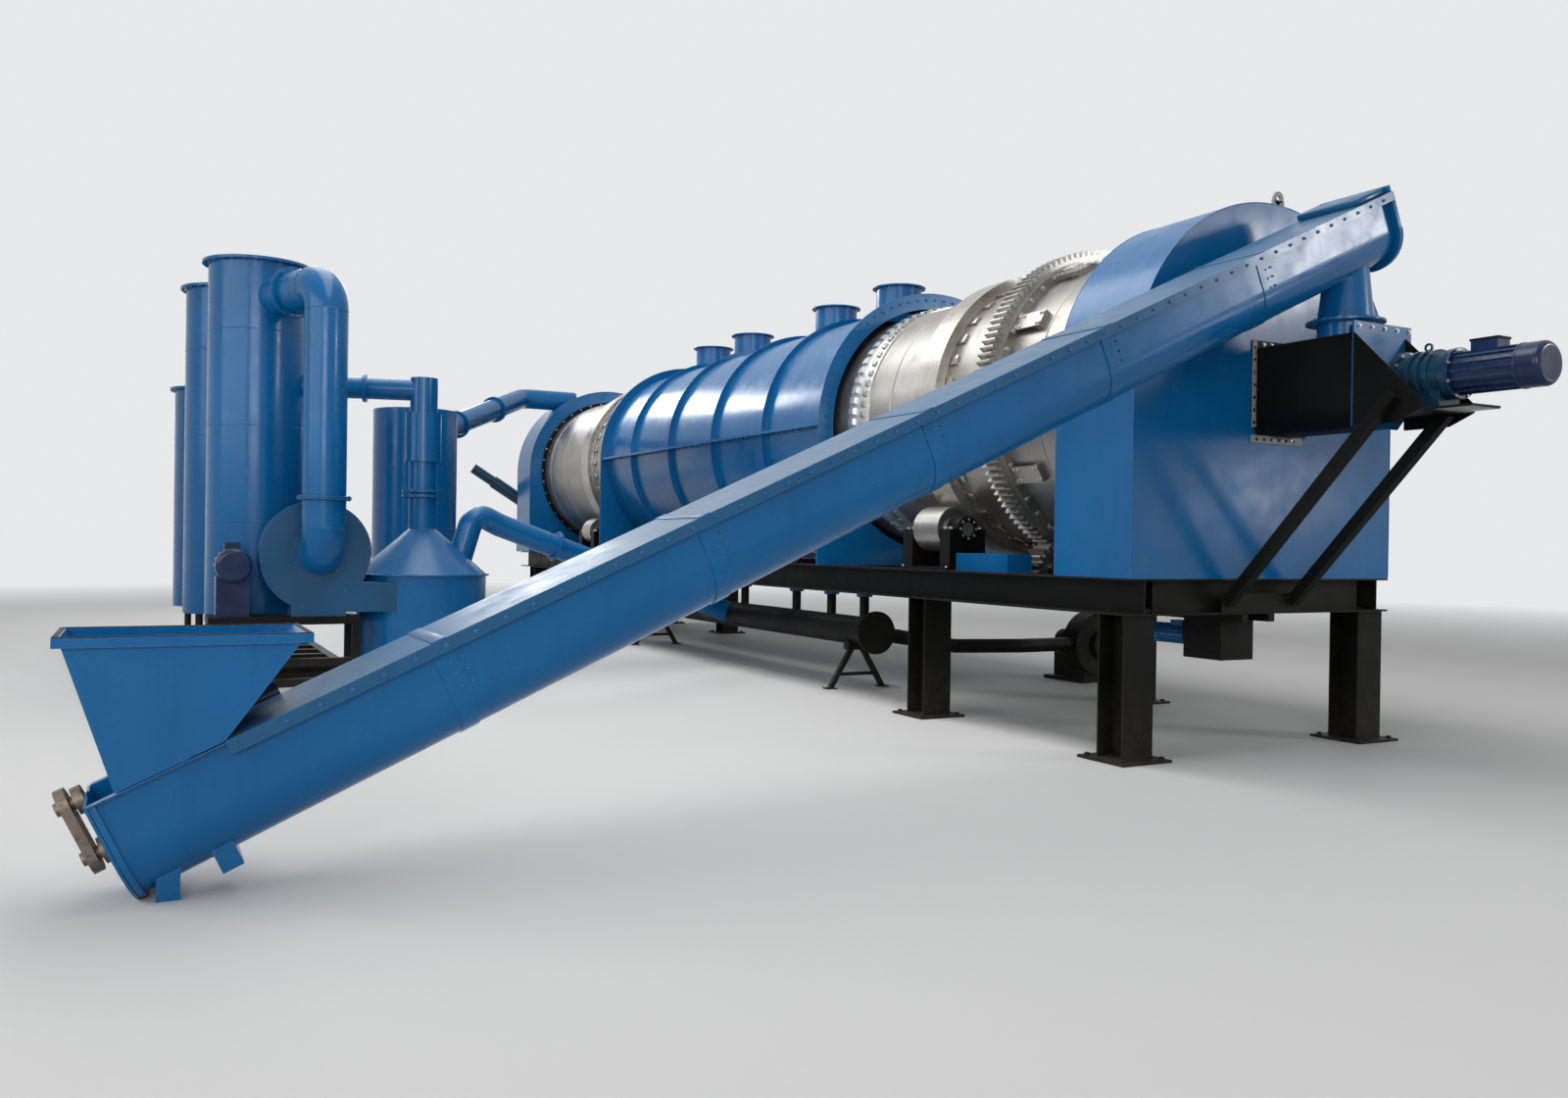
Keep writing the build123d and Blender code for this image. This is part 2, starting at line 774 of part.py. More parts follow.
def makePinion():
    """Pinion with a tooth in the gear's space, on its shaft."""
    y, z = pinionCentre()
    step = 360 / pinionTeeth
    towards = 90 - pinionAngle
    spin = towards - step * math.floor(towards / step)
    face = toothedFace(pinionTeeth, pinionShaftRadius - 5, pinionFlankSteps)
    plane = upright(gearPlace - pinionWidth / 2, y, z)
    wheel = extrude(plane * Rot(0, 0, spin) * face, pinionWidth)
    shaft = alongX(min(bearerPlaces) - 110, max(bearerPlaces) + 110, y, z, pinionShaftRadius)
    return [wheel + shaft]


def makeGearFlange():
    """Ring welded round the drum that carries the gear through spring plates."""
    inner = pitchRadius - 1.25 * gearModule - gearRimDepth
    x0 = gearPlace + gearWidth / 2
    ring = alongX(x0, x0 + flangeWide, 0, axisHeight, flangeRadius, drumRadius)
    spider = alongX(gearPlace - flangeWide / 2, gearPlace + flangeWide / 2, 0, axisHeight, inner, drumRadius)
    ring += makeSpringPlates()
    return [ring, spider]


def makeSpringPlates():
    """Plates between the gear flange and feet on the drum."""
    plates = []
    start = gearPlace + gearWidth / 2 + flangeWide
    for index in range(springCount):
        plate = block(start, start + springLength, -springWide / 2, springWide / 2,
                      flangeRadius - 26 - springThick, flangeRadius - 26)
        foot = block(start + springLength - 60, start + springLength, -springWide / 2, springWide / 2,
                     drumRadius - 6, flangeRadius - 26)
        piece = plate + foot - alongX(start - 1, start + springLength + 1, 0, 0, drumRadius)
        plates.append(Pos(0, 0, axisHeight) * Rot(360 * index / springCount, 0, 0) * piece)
    return plates


def makeSealRing():
    """Gland band round the drum with its row of blocks."""
    half = sealBandWide / 2
    band = alongX(sealPlace - half, sealPlace + half, 0, axisHeight, drumRadius + sealBandRise, drumRadius)
    low = drumRadius + sealBandRise - 4
    high = drumRadius + sealBandRise + sealBlockRise
    for index in range(sealCount):
        brick = block(sealPlace - half + 20, sealPlace - half + 20 + sealBlockLong,
                      -sealBlockWide / 2, sealBlockWide / 2, low, high)
        band += Pos(0, 0, axisHeight) * Rot(360 * index / sealCount, 0, 0) * brick
    return [band]


# Support rollers

def rollerCentre(side):
    reach = tyreRadius + rollerRadius + rollingGap
    lean = math.radians(rollerAngle)
    return side * reach * math.sin(lean), axisHeight - reach * math.cos(lean)


def makeRoller(x, side):
    y, z = rollerCentre(side)
    half = rollerWidth / 2
    wheel = alongX(x - half, x + half, y, z, rollerRadius)
    for end in sides:
        dish = alongX(*sorted((x + end * (half - 30), x + end * (half + 1))), y, z, rollerRadius - 35, shaftRadius + 45)
        wheel -= dish
    return [wheel + alongX(x - half - shaftReach, x + half + shaftReach, y, z, shaftRadius)]


def makeRollerStands():
    """A bearing block at each side of each roller, on a sole plate."""
    stands = []
    sole = 24.0
    for x in tyrePlaces:
        for side in sides:
            y, z = rollerCentre(side)
            reach = rollerWidth / 2 + shaftReach
            stand = block(x - reach, x + reach, y - 220, y + 220, deckTop, deckTop + sole)
            for end in sides:
                near = x + end * (rollerWidth / 2 + 25)
                far = x + end * reach
                x0, x1 = sorted((near, far))
                stand += block(x0, x1, y - 190, y + 190, deckTop + sole, z)
                stand += alongX(x0, x1, y, z, 110)
            stand -= alongX(x - reach - 1, x + reach + 1, y, z, shaftRadius + runningFit)
            stands.append(stand)
    return stands


def makePinionBearings():
    y, z = pinionCentre()
    bearings = []
    low = deckBottom + bearerDepth
    for x in bearerPlaces:
        bearing = block(x - 60, x + 60, y - 130, y + 130, low, z) + alongX(x - 60, x + 60, y, z, 100)
        bearings.append(bearing - alongX(x - 61, x + 61, y, z, pinionShaftRadius + runningFit))
    return bearings


def makeKilnDrive():
    """Gearbox under two rails that bolt to the cross beams."""
    x, y, z = drivePlace
    low = deckBottom - railDepth
    unit = block(x, x + driveBoxLong, y - driveBoxWide / 2, y + driveBoxWide / 2, z - driveBoxTall / 2, low)
    unit += alongX(x - railDepth, x, y, z, driveBoxTall * 0.38)
    for side in sides:
        edges = sorted((side * driveBoxWide / 2, side * (driveBoxWide / 2 - railDepth)))
        unit += block(crossPlaces[1] - railReach, crossPlaces[0] + railReach, y + edges[0], y + edges[1],
                      low, deckBottom)
    return [unit]


def makeKilnMotor():
    x, y, z = drivePlace
    return [Pos(x - railDepth, y, z) * Rot(0, 0, 180) * motor(driveMotorLong, driveMotorRadius)]


# Burners

def makeManifold():
    tube = alongX(manifoldDischargeEnd, manifoldFeedEnd, manifoldY, manifoldZ, manifoldRadius)
    for x0 in (manifoldFeedEnd, manifoldDischargeEnd - manifoldDiscThick):
        tube += alongX(x0, x0 + manifoldDiscThick, manifoldY, manifoldZ, manifoldDisc)
    return [tube]


def makeRisers():
    risers = []
    core = alongX(jacketDischargeEnd, jacketFeedEnd, 0, axisHeight, jacketRadius)
    manifold = alongX(manifoldDischargeEnd, manifoldFeedEnd, manifoldY, manifoldZ, manifoldRadius)
    for x in riserPlaces:
        risers.append(alongZ(x, manifoldY, manifoldZ, axisHeight - jacketRadius / 2, riserRadius) - core - manifold)
    return risers


def makeTrestles():
    trestles = []
    for x in trestlePlaces:
        top = manifoldZ - manifoldRadius
        bar = block(x - trestleBar, x + trestleBar, manifoldY - 130, manifoldY + 130, top - trestleBar, top + 40)
        frame = bar
        for side in sides:
            foot = Vector(x, manifoldY + side * trestleSpread / 2, 0)
            head = Vector(x, manifoldY + side * 60, top - trestleBar / 2)
            plane = Plane(origin=foot - (head - foot) * 0.2, x_dir=(1, 0, 0), z_dir=head - foot)
            frame += extrude(plane * Rectangle(trestleBar, trestleBar), (head - foot).length * 1.2)
            frame += block(x - 50, x + 50, foot.Y - 60, foot.Y + 60, 0, 12)
        y = trestleSpread * 0.36
        frame += block(x - 15, x + 15, manifoldY - y, manifoldY + y, 130, 165)
        frame -= block(x - 500, x + 500, manifoldY - 1000, manifoldY + 1000, -500, 0)
        manifold = alongX(x - 500, x + 500, manifoldY, manifoldZ, manifoldRadius)
        trestles.append(frame - manifold)
    return trestles


def scroll(centre, wide, radius, growth, outletTall, outletEnd):
    """Fan casing facing +X, its radius growing round to an outlet along +Y."""
    x, y, z = centre
    points = []
    steps = 16
    for index in range(steps + 1):
        turn = math.radians(-90 - 360 * index / steps)
        reach = radius + growth - 2 * growth * index / steps
        points.append((reach * math.cos(turn), reach * math.sin(turn)))
    low = -(radius + growth)
    outline = Spline(*points, tangents=[(-1, 0), (-1, 0)])
    face = make_face(outline + Line(points[-1], points[0]))
    face += Pos(outletEnd / 2, low + outletTall / 2) * Rectangle(outletEnd, outletTall)
    return extrude(upright(x, y, z) * face, wide)


def makeBlower():
    x, y, z = blowerPlace
    casing = alongX(x, x + blowerWide, y, z, blowerRadius)
    casing += alongX(x + blowerWide, x + blowerWide + 60, y, z, 150, 110)
    casing += block(x, x + blowerWide, y, y + blowerRadius + 120, z + blowerRadius - 220, z + blowerRadius)
    foot = block(x - 430, x + blowerWide, y - 260, y + 260, 0, 40)
    post = block(x + 20, x + blowerWide - 20, y - 220, y + 220, 40, z - blowerRadius / 2)
    bed = block(x - 420, x - 60, y - 120, y + 120, 40, z - 130)
    drive = Pos(x, y, z) * Rot(0, 0, 180) * motor(430, 130)
    middle = x + blowerWide / 2
    points = [(middle, y - blowerRadius * 0.9, z), (middle, airPipeTurns[0], z), (airPipeJoin, airPipeTurns[1], z),
              (airPipeJoin, manifoldY, manifoldZ)]
    air = bentPipe(points, 2 * airPipeRadius, airPipeRadius)
    air -= alongX(manifoldDischargeEnd, manifoldFeedEnd, manifoldY, manifoldZ, manifoldRadius)
    return [casing + foot + post + bed + drive + air]


# Gas cleaning group

def makeTowers():
    towers = []
    for (x, y), top in zip(towerPlaces, towerTops):
        shell = alongZ(x, y, towerBottom, top, towerRadius) - alongZ(x, y, towerBottom + towerWall, top + 1,
                                                                     towerRadius - towerWall)
        shell += alongZ(x, y, top - lidThick, top, towerRadius + towerRim, towerRadius - towerWall)
        towers.append(shell)
    x, y = rearTowerPlace
    rear = alongZ(x, y, 0, rearTowerTop, rearTowerRadius)
    rear -= alongZ(x, y, towerWall, rearTowerTop + 1, rearTowerRadius - towerWall)
    towers.append(rear - gasPipe(gasPipeRadius))
    towers[0] -= suctionDuct(fanInlet) + crossPipe(crossPipeRadius)
    return towers


def makeTowerLids():
    lids = [alongZ(x, y, top, top + lidThick, towerRadius + towerRim)
            for (x, y), top in zip(towerPlaces, towerTops)]
    x, y = rearTowerPlace
    lids.append(alongZ(x, y, rearTowerTop, rearTowerTop + lidThick, rearTowerRadius))
    return lids


def makeTowerLegs():
    legs = []
    for x, y in towerPlaces:
        for index in range(4):
            turn = math.radians(45 + 90 * index)
            reach = towerRadius - legRadius - 20
            legs.append(alongZ(x + reach * math.cos(turn), y + reach * math.sin(turn), skidTop, towerBottom, legRadius))
    return legs


def makeSkid():
    x0, x1 = skidEnds
    y0, y1 = skidSides
    frame = block(x0, x1, y0, y0 + skidWide, 0, skidTop) + block(x0, x1, y1 - skidWide, y1, 0, skidTop)
    bays = 7
    for index in range(bays + 1):
        x = x0 + (x1 - x0 - skidWide) * index / bays
        frame += block(x, x + skidWide, y0, y1, 0, skidTop)
    for x, y in towerPlaces:
        for side in sides:
            mid = y + side * towerRadius * 0.65
            frame += block(x - towerRadius, x + towerRadius, mid - 60, mid + 60, skidTop - 40, skidTop)
    return [frame]


def makeFan():
    x, y, z = fanCentre
    casing = scroll((x - fanWide, y, z), fanWide, fanRadius, fanGrowth, fanOutletTall, tankPlace[1] - y)
    casing += alongX(x, x + 20, y, z, fanInlet + 60, fanInlet)
    for x0 in (x - fanWide, x - fanFootThick):
        casing += block(x0, x0 + fanFootThick, y - fanFootReach, y + fanFootReach, standTop, z - fanRadius * 0.8)
    return [casing - alongZ(*tankPlace, 0, tankTop, tankRadius)]


def makeFanMotor():
    x, y, z = fanCentre
    drive = Pos(x - fanWide - 60, y - fanRadius - 260, z - 120) * motor(480, 165)
    foot = Pos(x - fanWide - 60, y - fanRadius - 260, 0) * block(40, 320, -150, 150, standTop, z - 230)
    return [drive + foot]


def makeFanStand():
    x, y, z = fanCentre
    x0, x1 = standBack, x + 20
    y0, y1 = y - fanRadius - 480, tankPlace[1] - tankRadius - 40
    bar = 80
    frame = block(x0, x1, y0, y1, standTop - bar, standTop) - block(x0 + bar, x1 - bar, y0 + bar, y1 - bar,
                                                                    standTop - bar - 1, standTop + 1)
    frame += block(x - fanWide - 60, x - fanWide + 20, y0, y1, standTop - bar, standTop)
    for px in (x0, x1 - bar):
        for py in (y0, y1 - bar):
            frame += block(px, px + bar, py, py + bar, 0, standTop - bar)
    frame += block(x1 - bar, x1, y0, y1, 0, bar) + block(x0, x0 + bar, y0, y1, 0, bar)
    frame += block(x1 - bar, x1, y0, y1, 200, 200 + bar)
    return [frame]


def suctionDuct(outer, inner=0.0):
    x, y, z = fanCentre
    tx, ty = towerPlaces[0]
    points = [(x + 20, y, z), (ductX, y, z), (ductX, y, ductTop), (tx, ty, ductTop)]
    return bentPipe(points, ductBend, outer, inner)


def makeSuctionDuct():
    duct = suctionDuct(fanInlet, fanInlet - ductWall)
    tx, ty = towerPlaces[0]
    return [duct - alongZ(tx, ty, towerBottom, ductTop + 600, towerRadius - towerWall / 2)]


def makeTank():
    x, y = tankPlace
    return [alongZ(x, y, 0, tankTop, tankRadius) - alongZ(x, y, tankWall, tankTop + 1, tankRadius - tankWall)]


def makeTankCone():
    x, y = tankPlace
    low = Plane(origin=(x, y, tankTop))
    high = Plane(origin=(x, y, coneTop))
    cone = loft([low * Circle(tankRadius), high * Circle(neckRadius)])
    cone -= loft([low * Circle(tankRadius - tankWall), high * Circle(neckRadius - tankWall)])
    return [cone]


def crossPipe(radius, inner=0.0):
    x, y = tankPlace
    tx, ty = towerPlaces[0]
    return pipe((x, y, crossPipeZ), (tx, ty, crossPipeZ), radius, inner)


def makeStack():
    x, y = tankPlace
    stack = alongZ(x, y, coneTop, stackTop, neckRadius)
    for z0 in (stackFlange - 45, stackFlange + 5):
        stack += alongZ(x, y, z0, z0 + 30, neckRadius + 70)
    stack += alongZ(x, y, sleeveBottom, sleeveTop, sleeveRadius)
    return [stack]


def makeCrossPipe():
    x, y = tankPlace
    tx, ty = towerPlaces[0]
    tube = crossPipe(crossPipeRadius)
    way = Vector(tx - x, ty - y, 0)
    ring = Vector(x, y, crossPipeZ) + way * 0.35
    tube += pipe(ring, ring + way.normalized() * 35, crossPipeRadius + 35)
    tube -= alongZ(x, y, 0, stackTop + 100, neckRadius)
    return [tube - alongZ(tx, ty, 0, 5000, towerRadius)]


def gasPipe(outer, inner=0.0):
    x, y = rearTowerPlace
    bend = gasPipeRadius * 2
    points = [(gasPipeStart, gasPipeTurns[0], gasPipeZ), (gasPipeStart, gasPipeTurns[1], gasPipeZ),
              (x, y, rearTowerTop - gasPipeDip)]
    return bentPipe(points, bend, outer, inner)


def makeGasPipe():
    x, y = rearTowerPlace
    tube = gasPipe(gasPipeRadius)
    tube -= alongX(dischargeHoodBack, dischargeHoodFront, 0, axisHeight, dischargeHoodRadius - hoodPlate / 2)
    return [tube - alongZ(x, y, 0, 5000, rearTowerRadius - towerWall / 2)]


def makeFuelPipe():
    x, y = tankPlace
    points = [(x, y + 380, tankTop + 60), (x, y + 560, coneTop + 200), (x - 60, y + 860, coneTop + 60),
              (x - 420, manifoldY, manifoldZ)]
    tube = bentPipe(points, 150, fuelPipeRadius)
    tube -= loft([Plane(origin=(x, y, tankTop)) * Circle(tankRadius),
                  Plane(origin=(x, y, coneTop)) * Circle(neckRadius)])
    tube -= alongZ(x, y, 0, tankTop, tankRadius)
    return [tube - alongX(manifoldDischargeEnd, manifoldFeedEnd, manifoldY, manifoldZ, manifoldRadius)]


def makeDischargeScrew():
    start = Vector(dischargeHoodBack - 150, -300, deckTop + 260)
    end = Vector(dischargeHoodBack - 420, -1800, axisHeight - 160)
    tube = pipe(start, end, 110)
    drive = pipe(end, end + (end - start).normalized() * 420, 90)
    foot = block(dischargeHoodBack - 330, dischargeHoodBack, -420, -120, deckTop, deckTop + 420)
    return [tube + drive + foot]


# Final frame: origin under the near base plate at the feed end
toFrame = Pos(-columnPlaces[0], deckGauge / 2, 0)

pieces = {
    "deck_beams": makeBeams(),
    "cross_beams": makeCrossBeams() + makeBearerBeams(),
    "columns": makeColumns(-1) + makeColumns(1),
    "base_plates": makeBasePlates(),
    "oil_box": makeOilBox(),
    "feed_hood": makeFeedHood(),
    "feed_hood_front": makeFeedHoodFront(),
    "feed_hood_ring": makeFeedHoodRing(),
    "feeder_trough": makeFeederTrough(),
    "feeder_end_plate": makeFeederEndPlate(),
    "feed_chute": makeFeedChute(),
    "feeder_gearbox": makeFeederGearbox(),
    "feeder_motor": makeFeederMotor(),
    "feeder_support": [makeFeederShelf()[0] + makeFeederStruts()[0]],
    "conveyor_trough": makeConveyorTrough(),
    "conveyor_cover": makeConveyorCover(),
    "conveyor_straps": makeConveyorStraps(),
    "conveyor_ends": makeConveyorEnds(),
    "conveyor_feet": makeConveyorFeet(),
    "conveyor_drive": makeConveyorDrive(),
    "conveyor_motor": makeConveyorMotor(),
    "charge_hopper": makeChargeHopper(),
    "jacket_upper": makeJacketHalf(1),
    "jacket_lower": makeJacketHalf(-1),
    "jacket_plates": makeJacketPlates(),
    "jacket_stubs": makeJacketStubs(),
    "discharge_hood": makeDischargeHood(),
    "discharge_hood_plates": makeDischargeHoodRing() + makeDischargeHoodBack(),
    "discharge_screw": makeDischargeScrew(),
    "drum_shell": makeDrumShell(),
    "riding_rings": makeTyres(),
    "girth_gear": makeGirthGear(),
    "gear_mount": makeGearFlange(),
    "gland_ring": makeSealRing(),
    "pinion": makePinion(),
    "roller_stands": makeRollerStands(),
    "pinion_bearings": makePinionBearings(),
    "kiln_drive": makeKilnDrive(),
    "kiln_motor": makeKilnMotor(),
    "burner_manifold": [makeManifold()[0] + makeRisers()],
    "manifold_trestles": makeTrestles(),
    "blower": makeBlower(),
    "skid": [makeSkid()[0] + makeTowerLegs()],
    "tower_shells": makeTowers(),
    "tower_lids": makeTowerLids(),
    "gas_fan": makeFan(),
    "gas_fan_motor": makeFanMotor(),
    "gas_fan_stand": makeFanStand(),
    "suction_duct": makeSuctionDuct(),
    "cone_tank": makeTank(),
    "tank_cone": makeTankCone(),
    "stack": makeStack(),
}
rollerNames = {-1: "near", 1: "far"}
for x, end in zip(tyrePlaces, ("feed", "discharge")):
    for side in sides:
        pieces["roller_%s_%s" % (end, rollerNames[side])] = makeRoller(x, side)
pieces["stack"] += makeCrossPipe()
pieces["gas_pipe"] = makeGasPipe()
pieces["fuel_pipe"] = makeFuelPipe()

os.makedirs("parts", exist_ok=True)
for name, solids in pieces.items():
    shapes = [solid for piece in solids for solid in (toFrame * piece).solids()]
    whole = shapes[0] if len(shapes) == 1 else Compound(children=shapes)
    export_step(whole, "parts/%s.step" % name)
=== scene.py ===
import bpy
import json
import math
from mathutils import Matrix, Vector


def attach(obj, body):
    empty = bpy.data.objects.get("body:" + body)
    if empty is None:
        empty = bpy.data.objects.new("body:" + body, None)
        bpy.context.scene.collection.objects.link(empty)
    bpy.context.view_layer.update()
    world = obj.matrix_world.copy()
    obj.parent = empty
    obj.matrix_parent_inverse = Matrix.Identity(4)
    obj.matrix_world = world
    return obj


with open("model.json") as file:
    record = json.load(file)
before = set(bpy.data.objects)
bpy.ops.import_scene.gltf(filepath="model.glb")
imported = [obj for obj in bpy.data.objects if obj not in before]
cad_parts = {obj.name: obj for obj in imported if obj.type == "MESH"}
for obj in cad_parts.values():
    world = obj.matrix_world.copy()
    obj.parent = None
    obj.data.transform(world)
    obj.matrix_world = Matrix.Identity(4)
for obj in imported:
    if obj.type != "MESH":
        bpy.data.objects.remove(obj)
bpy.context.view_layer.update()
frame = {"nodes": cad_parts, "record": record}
print("frame loaded")


def at(x, y, z):
    # plan measures in mm, from the feed end of the deck and the kiln's middle plane
    return Vector(((x + 130) / 1000, (y + 1225) / 1000, z / 1000))


kiln = {"y": 0.0, "z": 2710.0, "deckTop": 1290.0, "gauge": 1225.0}


# Materials

def newMaterial(name):
    material = bpy.data.materials.new(name)
    material.use_nodes = True
    tree = material.node_tree
    tree.nodes.clear()
    shader = tree.nodes.new("ShaderNodeBsdfPrincipled")
    tree.links.new(shader.outputs[0], tree.nodes.new("ShaderNodeOutputMaterial").inputs[0])
    return material, tree, shader


def objectPoint(tree, scale=(1, 1, 1), shift=(0, 0, 0)):
    mapping = tree.nodes.new("ShaderNodeMapping")
    mapping.inputs["Scale"].default_value = scale
    mapping.inputs["Location"].default_value = shift
    tree.links.new(tree.nodes.new("ShaderNodeTexCoord").outputs["Object"], mapping.inputs[0])
    return mapping.outputs[0]


def noise(tree, point, scale, detail=4.0, rough=0.55):
    grain = tree.nodes.new("ShaderNodeTexNoise")
    grain.inputs["Scale"].default_value = scale
    grain.inputs["Detail"].default_value = detail
    grain.inputs["Roughness"].default_value = rough
    tree.links.new(point, grain.inputs["Vector"])
    return grain.outputs["Fac"]


def spreadRange(tree, value, low, high, toLow, toHigh):
    node = tree.nodes.new("ShaderNodeMapRange")
    for index, number in enumerate((low, high, toLow, toHigh)):
        node.inputs[index + 1].default_value = number
    tree.links.new(value, node.inputs[0])
    return node.outputs[0]


def calc(tree, operation, first, second=None):
    node = tree.nodes.new("ShaderNodeMath")
    node.operation = operation
    for index, value in enumerate((first, second)):
        if value is None:
            continue
        if isinstance(value, (int, float)):
            node.inputs[index].default_value = value
        else:
            tree.links.new(value, node.inputs[index])
    return node.outputs[0]


def blendColour(tree, amount, first, second, kind="MIX"):
    node = tree.nodes.new("ShaderNodeMix")
    node.data_type = "RGBA"
    node.blend_type = kind
    for index, value in ((0, amount), (6, first), (7, second)):
        if isinstance(value, (int, float)):
            node.inputs[index].default_value = value
        elif isinstance(value, tuple):
            node.inputs[index].default_value = value + (1.0,)
        else:
            tree.links.new(value, node.inputs[index])
    return node.outputs[2]


def bump(tree, shader, height, strength, distance):
    node = tree.nodes.new("ShaderNodeBump")
    node.inputs["Strength"].default_value = strength
    node.inputs["Distance"].default_value = distance
    tree.links.new(height, node.inputs["Height"])
    tree.links.new(node.outputs[0], shader.inputs["Normal"])


def upwards(tree):
    split = tree.nodes.new("ShaderNodeSeparateXYZ")
    tree.links.new(tree.nodes.new("ShaderNodeNewGeometry").outputs["Normal"], split.inputs[0])
    return split.outputs[2]


def seenRay(tree):
    # 1 for the rays that show the background: camera, glossy and transmission
    path = tree.nodes.new("ShaderNodeLightPath")
    mirrored = calc(tree, "MAXIMUM", path.outputs["Is Glossy Ray"], path.outputs["Is Transmission Ray"])
    return calc(tree, "MAXIMUM", path.outputs["Is Camera Ray"], mirrored)


def heightOf(tree):
    split = tree.nodes.new("ShaderNodeSeparateXYZ")
    tree.links.new(objectPoint(tree), split.inputs[0])
    return split.outputs[2]


def edgeWearAndHighlight(tree, radius):
    # 1 on sharp corners, 0 on flat ground; the mask lightens edges as rubbed paint and as a painted
    # highlight
    soft = tree.nodes.new("ShaderNodeBevel")
    soft.samples = 4
    soft.inputs["Radius"].default_value = radius
    dot = tree.nodes.new("ShaderNodeVectorMath")
    dot.operation = "DOT_PRODUCT"
    tree.links.new(soft.outputs[0], dot.inputs[0])
    tree.links.new(tree.nodes.new("ShaderNodeNewGeometry").outputs["Normal"], dot.inputs[1])
    return spreadRange(tree, dot.outputs["Value"], 0.97, 0.80, 0.0, 1.0)


def paint(name, look):
    material, tree, shader = newMaterial(name)
    point = objectPoint(tree)
    broad = noise(tree, point, look["patch"], 5.0)
    colour = blendColour(tree, spreadRange(tree, broad, 0.3, 0.7, 0.0, 1.0), look["dark"],
                         look["light"])
    streaks = noise(tree, objectPoint(tree, (7, 7, 0.5)), 1.6, 6.0, 0.65)
    colour = blendColour(tree, spreadRange(tree, streaks, 0.5, 0.78, 0.0, look["streak"]), colour,
                         look["grime"])
    speck = noise(tree, point, 38.0, 5.0, 0.7)
    scuffs = spreadRange(tree, speck, 0.66, 0.74, 0.0, look["scuff"])
    colour = blendColour(tree, scuffs, colour, look["wearAndHighlight"])
    dust = calc(tree, "MULTIPLY", spreadRange(tree, upwards(tree), 0.35, 0.95, 0.0, look["dust"]),
                spreadRange(tree, noise(tree, point, 3.1, 7.0, 0.7), 0.35, 0.65, 0.35, 1.0))
    colour = blendColour(tree, dust, colour, look["dustColour"])
    # sharp edges lightened towards the worn colour: partly rubbed paint, partly a painted highlight where
    # edges catch the light
    if look["edge"] > 0:
        rubAndHighlight = calc(tree, "MULTIPLY", edgeWearAndHighlight(tree, look["edgeRadius"]),
                   spreadRange(tree, speck, 0.40, 0.62, 0.0, look["edge"]))
        colour = blendColour(tree, rubAndHighlight, colour, look["wearAndHighlight"])
    if look["mud"] > 0:
        low = spreadRange(tree, heightOf(tree), 0.55, 0.0, 0.0, look["mud"])
        low = calc(tree, "MULTIPLY", low, spreadRange(tree, noise(tree, point, 11.0, 8.0, 0.7), 0.35,
                                                      0.6, 0.2, 1.0))
        colour = blendColour(tree, low, colour, look["dustColour"])
    tree.links.new(colour, shader.inputs["Base Color"])
    smudge = noise(tree, point, look["smudge"], 8.0, 0.62)
    rough = spreadRange(tree, smudge, 0.3, 0.7, look["rough"][0], look["rough"][1])
    rough = calc(tree, "ADD", rough, calc(tree, "MULTIPLY", dust, 0.5))
    tree.links.new(rough, shader.inputs["Roughness"])
    shader.inputs["Coat Weight"].default_value = look["coat"]
    shader.inputs["Coat Roughness"].default_value = look["coatRough"]
    shader.inputs["Specular IOR Level"].default_value = look["shine"]
    wave = calc(tree, "ADD", noise(tree, point, 1.9, 2.0), calc(tree, "MULTIPLY", noise(tree, point,
            160.0, 2.0), 0.012))
    bump(tree, shader, wave, look["bump"], 0.012)
    return material


def steel(name, look):
    # bright turned steel, its marks running round the kiln's axis
    material, tree, shader = newMaterial(name)
    point = objectPoint(tree)
    split = tree.nodes.new("ShaderNodeSeparateXYZ")
    tree.links.new(point, split.inputs[0])
    across = calc(tree, "SUBTRACT", split.outputs[1], at(0, kiln["y"], 0).y)
    rise = calc(tree, "SUBTRACT", split.outputs[2], kiln["z"] / 1000)
    turn = calc(tree, "ARCTAN2", rise, across)
    join = tree.nodes.new("ShaderNodeCombineXYZ")
    tree.links.new(calc(tree, "MULTIPLY", split.outputs[0], look["ringScale"]), join.inputs[0])
    tree.links.new(calc(tree, "MULTIPLY", turn, look["turnScale"]), join.inputs[1])
    marks = noise(tree, join.outputs[0], 1.0, 6.0, 0.7)
    cloud = noise(tree, point, look["cloud"], 7.0, 0.6)
    colour = blendColour(tree, spreadRange(tree, marks, 0.3, 0.7, 0.0, 1.0), look["dark"],
                         look["light"])
    colour = blendColour(tree, spreadRange(tree, cloud, 0.48, 0.72, 0.0, look["stain"]), colour,
                         look["stainColour"])
    film = noise(tree, objectPoint(tree, (1, 1, 1), (4, 7, 1)), look["cloud"] * 2.7, 8.0, 0.66)
    colour = blendColour(tree, spreadRange(tree, film, 0.56, 0.70, 0.0, look["soot"]), colour,
                         look["sootColour"])
    tree.links.new(colour, shader.inputs["Base Color"])
    shader.inputs["Metallic"].default_value = look["metal"]
    rough = calc(tree, "ADD", spreadRange(tree, marks, 0.3, 0.7, look["rough"][0], look["rough"][1]),
                 spreadRange(tree, film, 0.5, 0.7, 0.0, 0.18))
    tree.links.new(rough, shader.inputs["Roughness"])
    bump(tree, shader, calc(tree, "ADD", marks, calc(tree, "MULTIPLY", cloud, 0.6)), look["bump"],
         0.002)
    return material
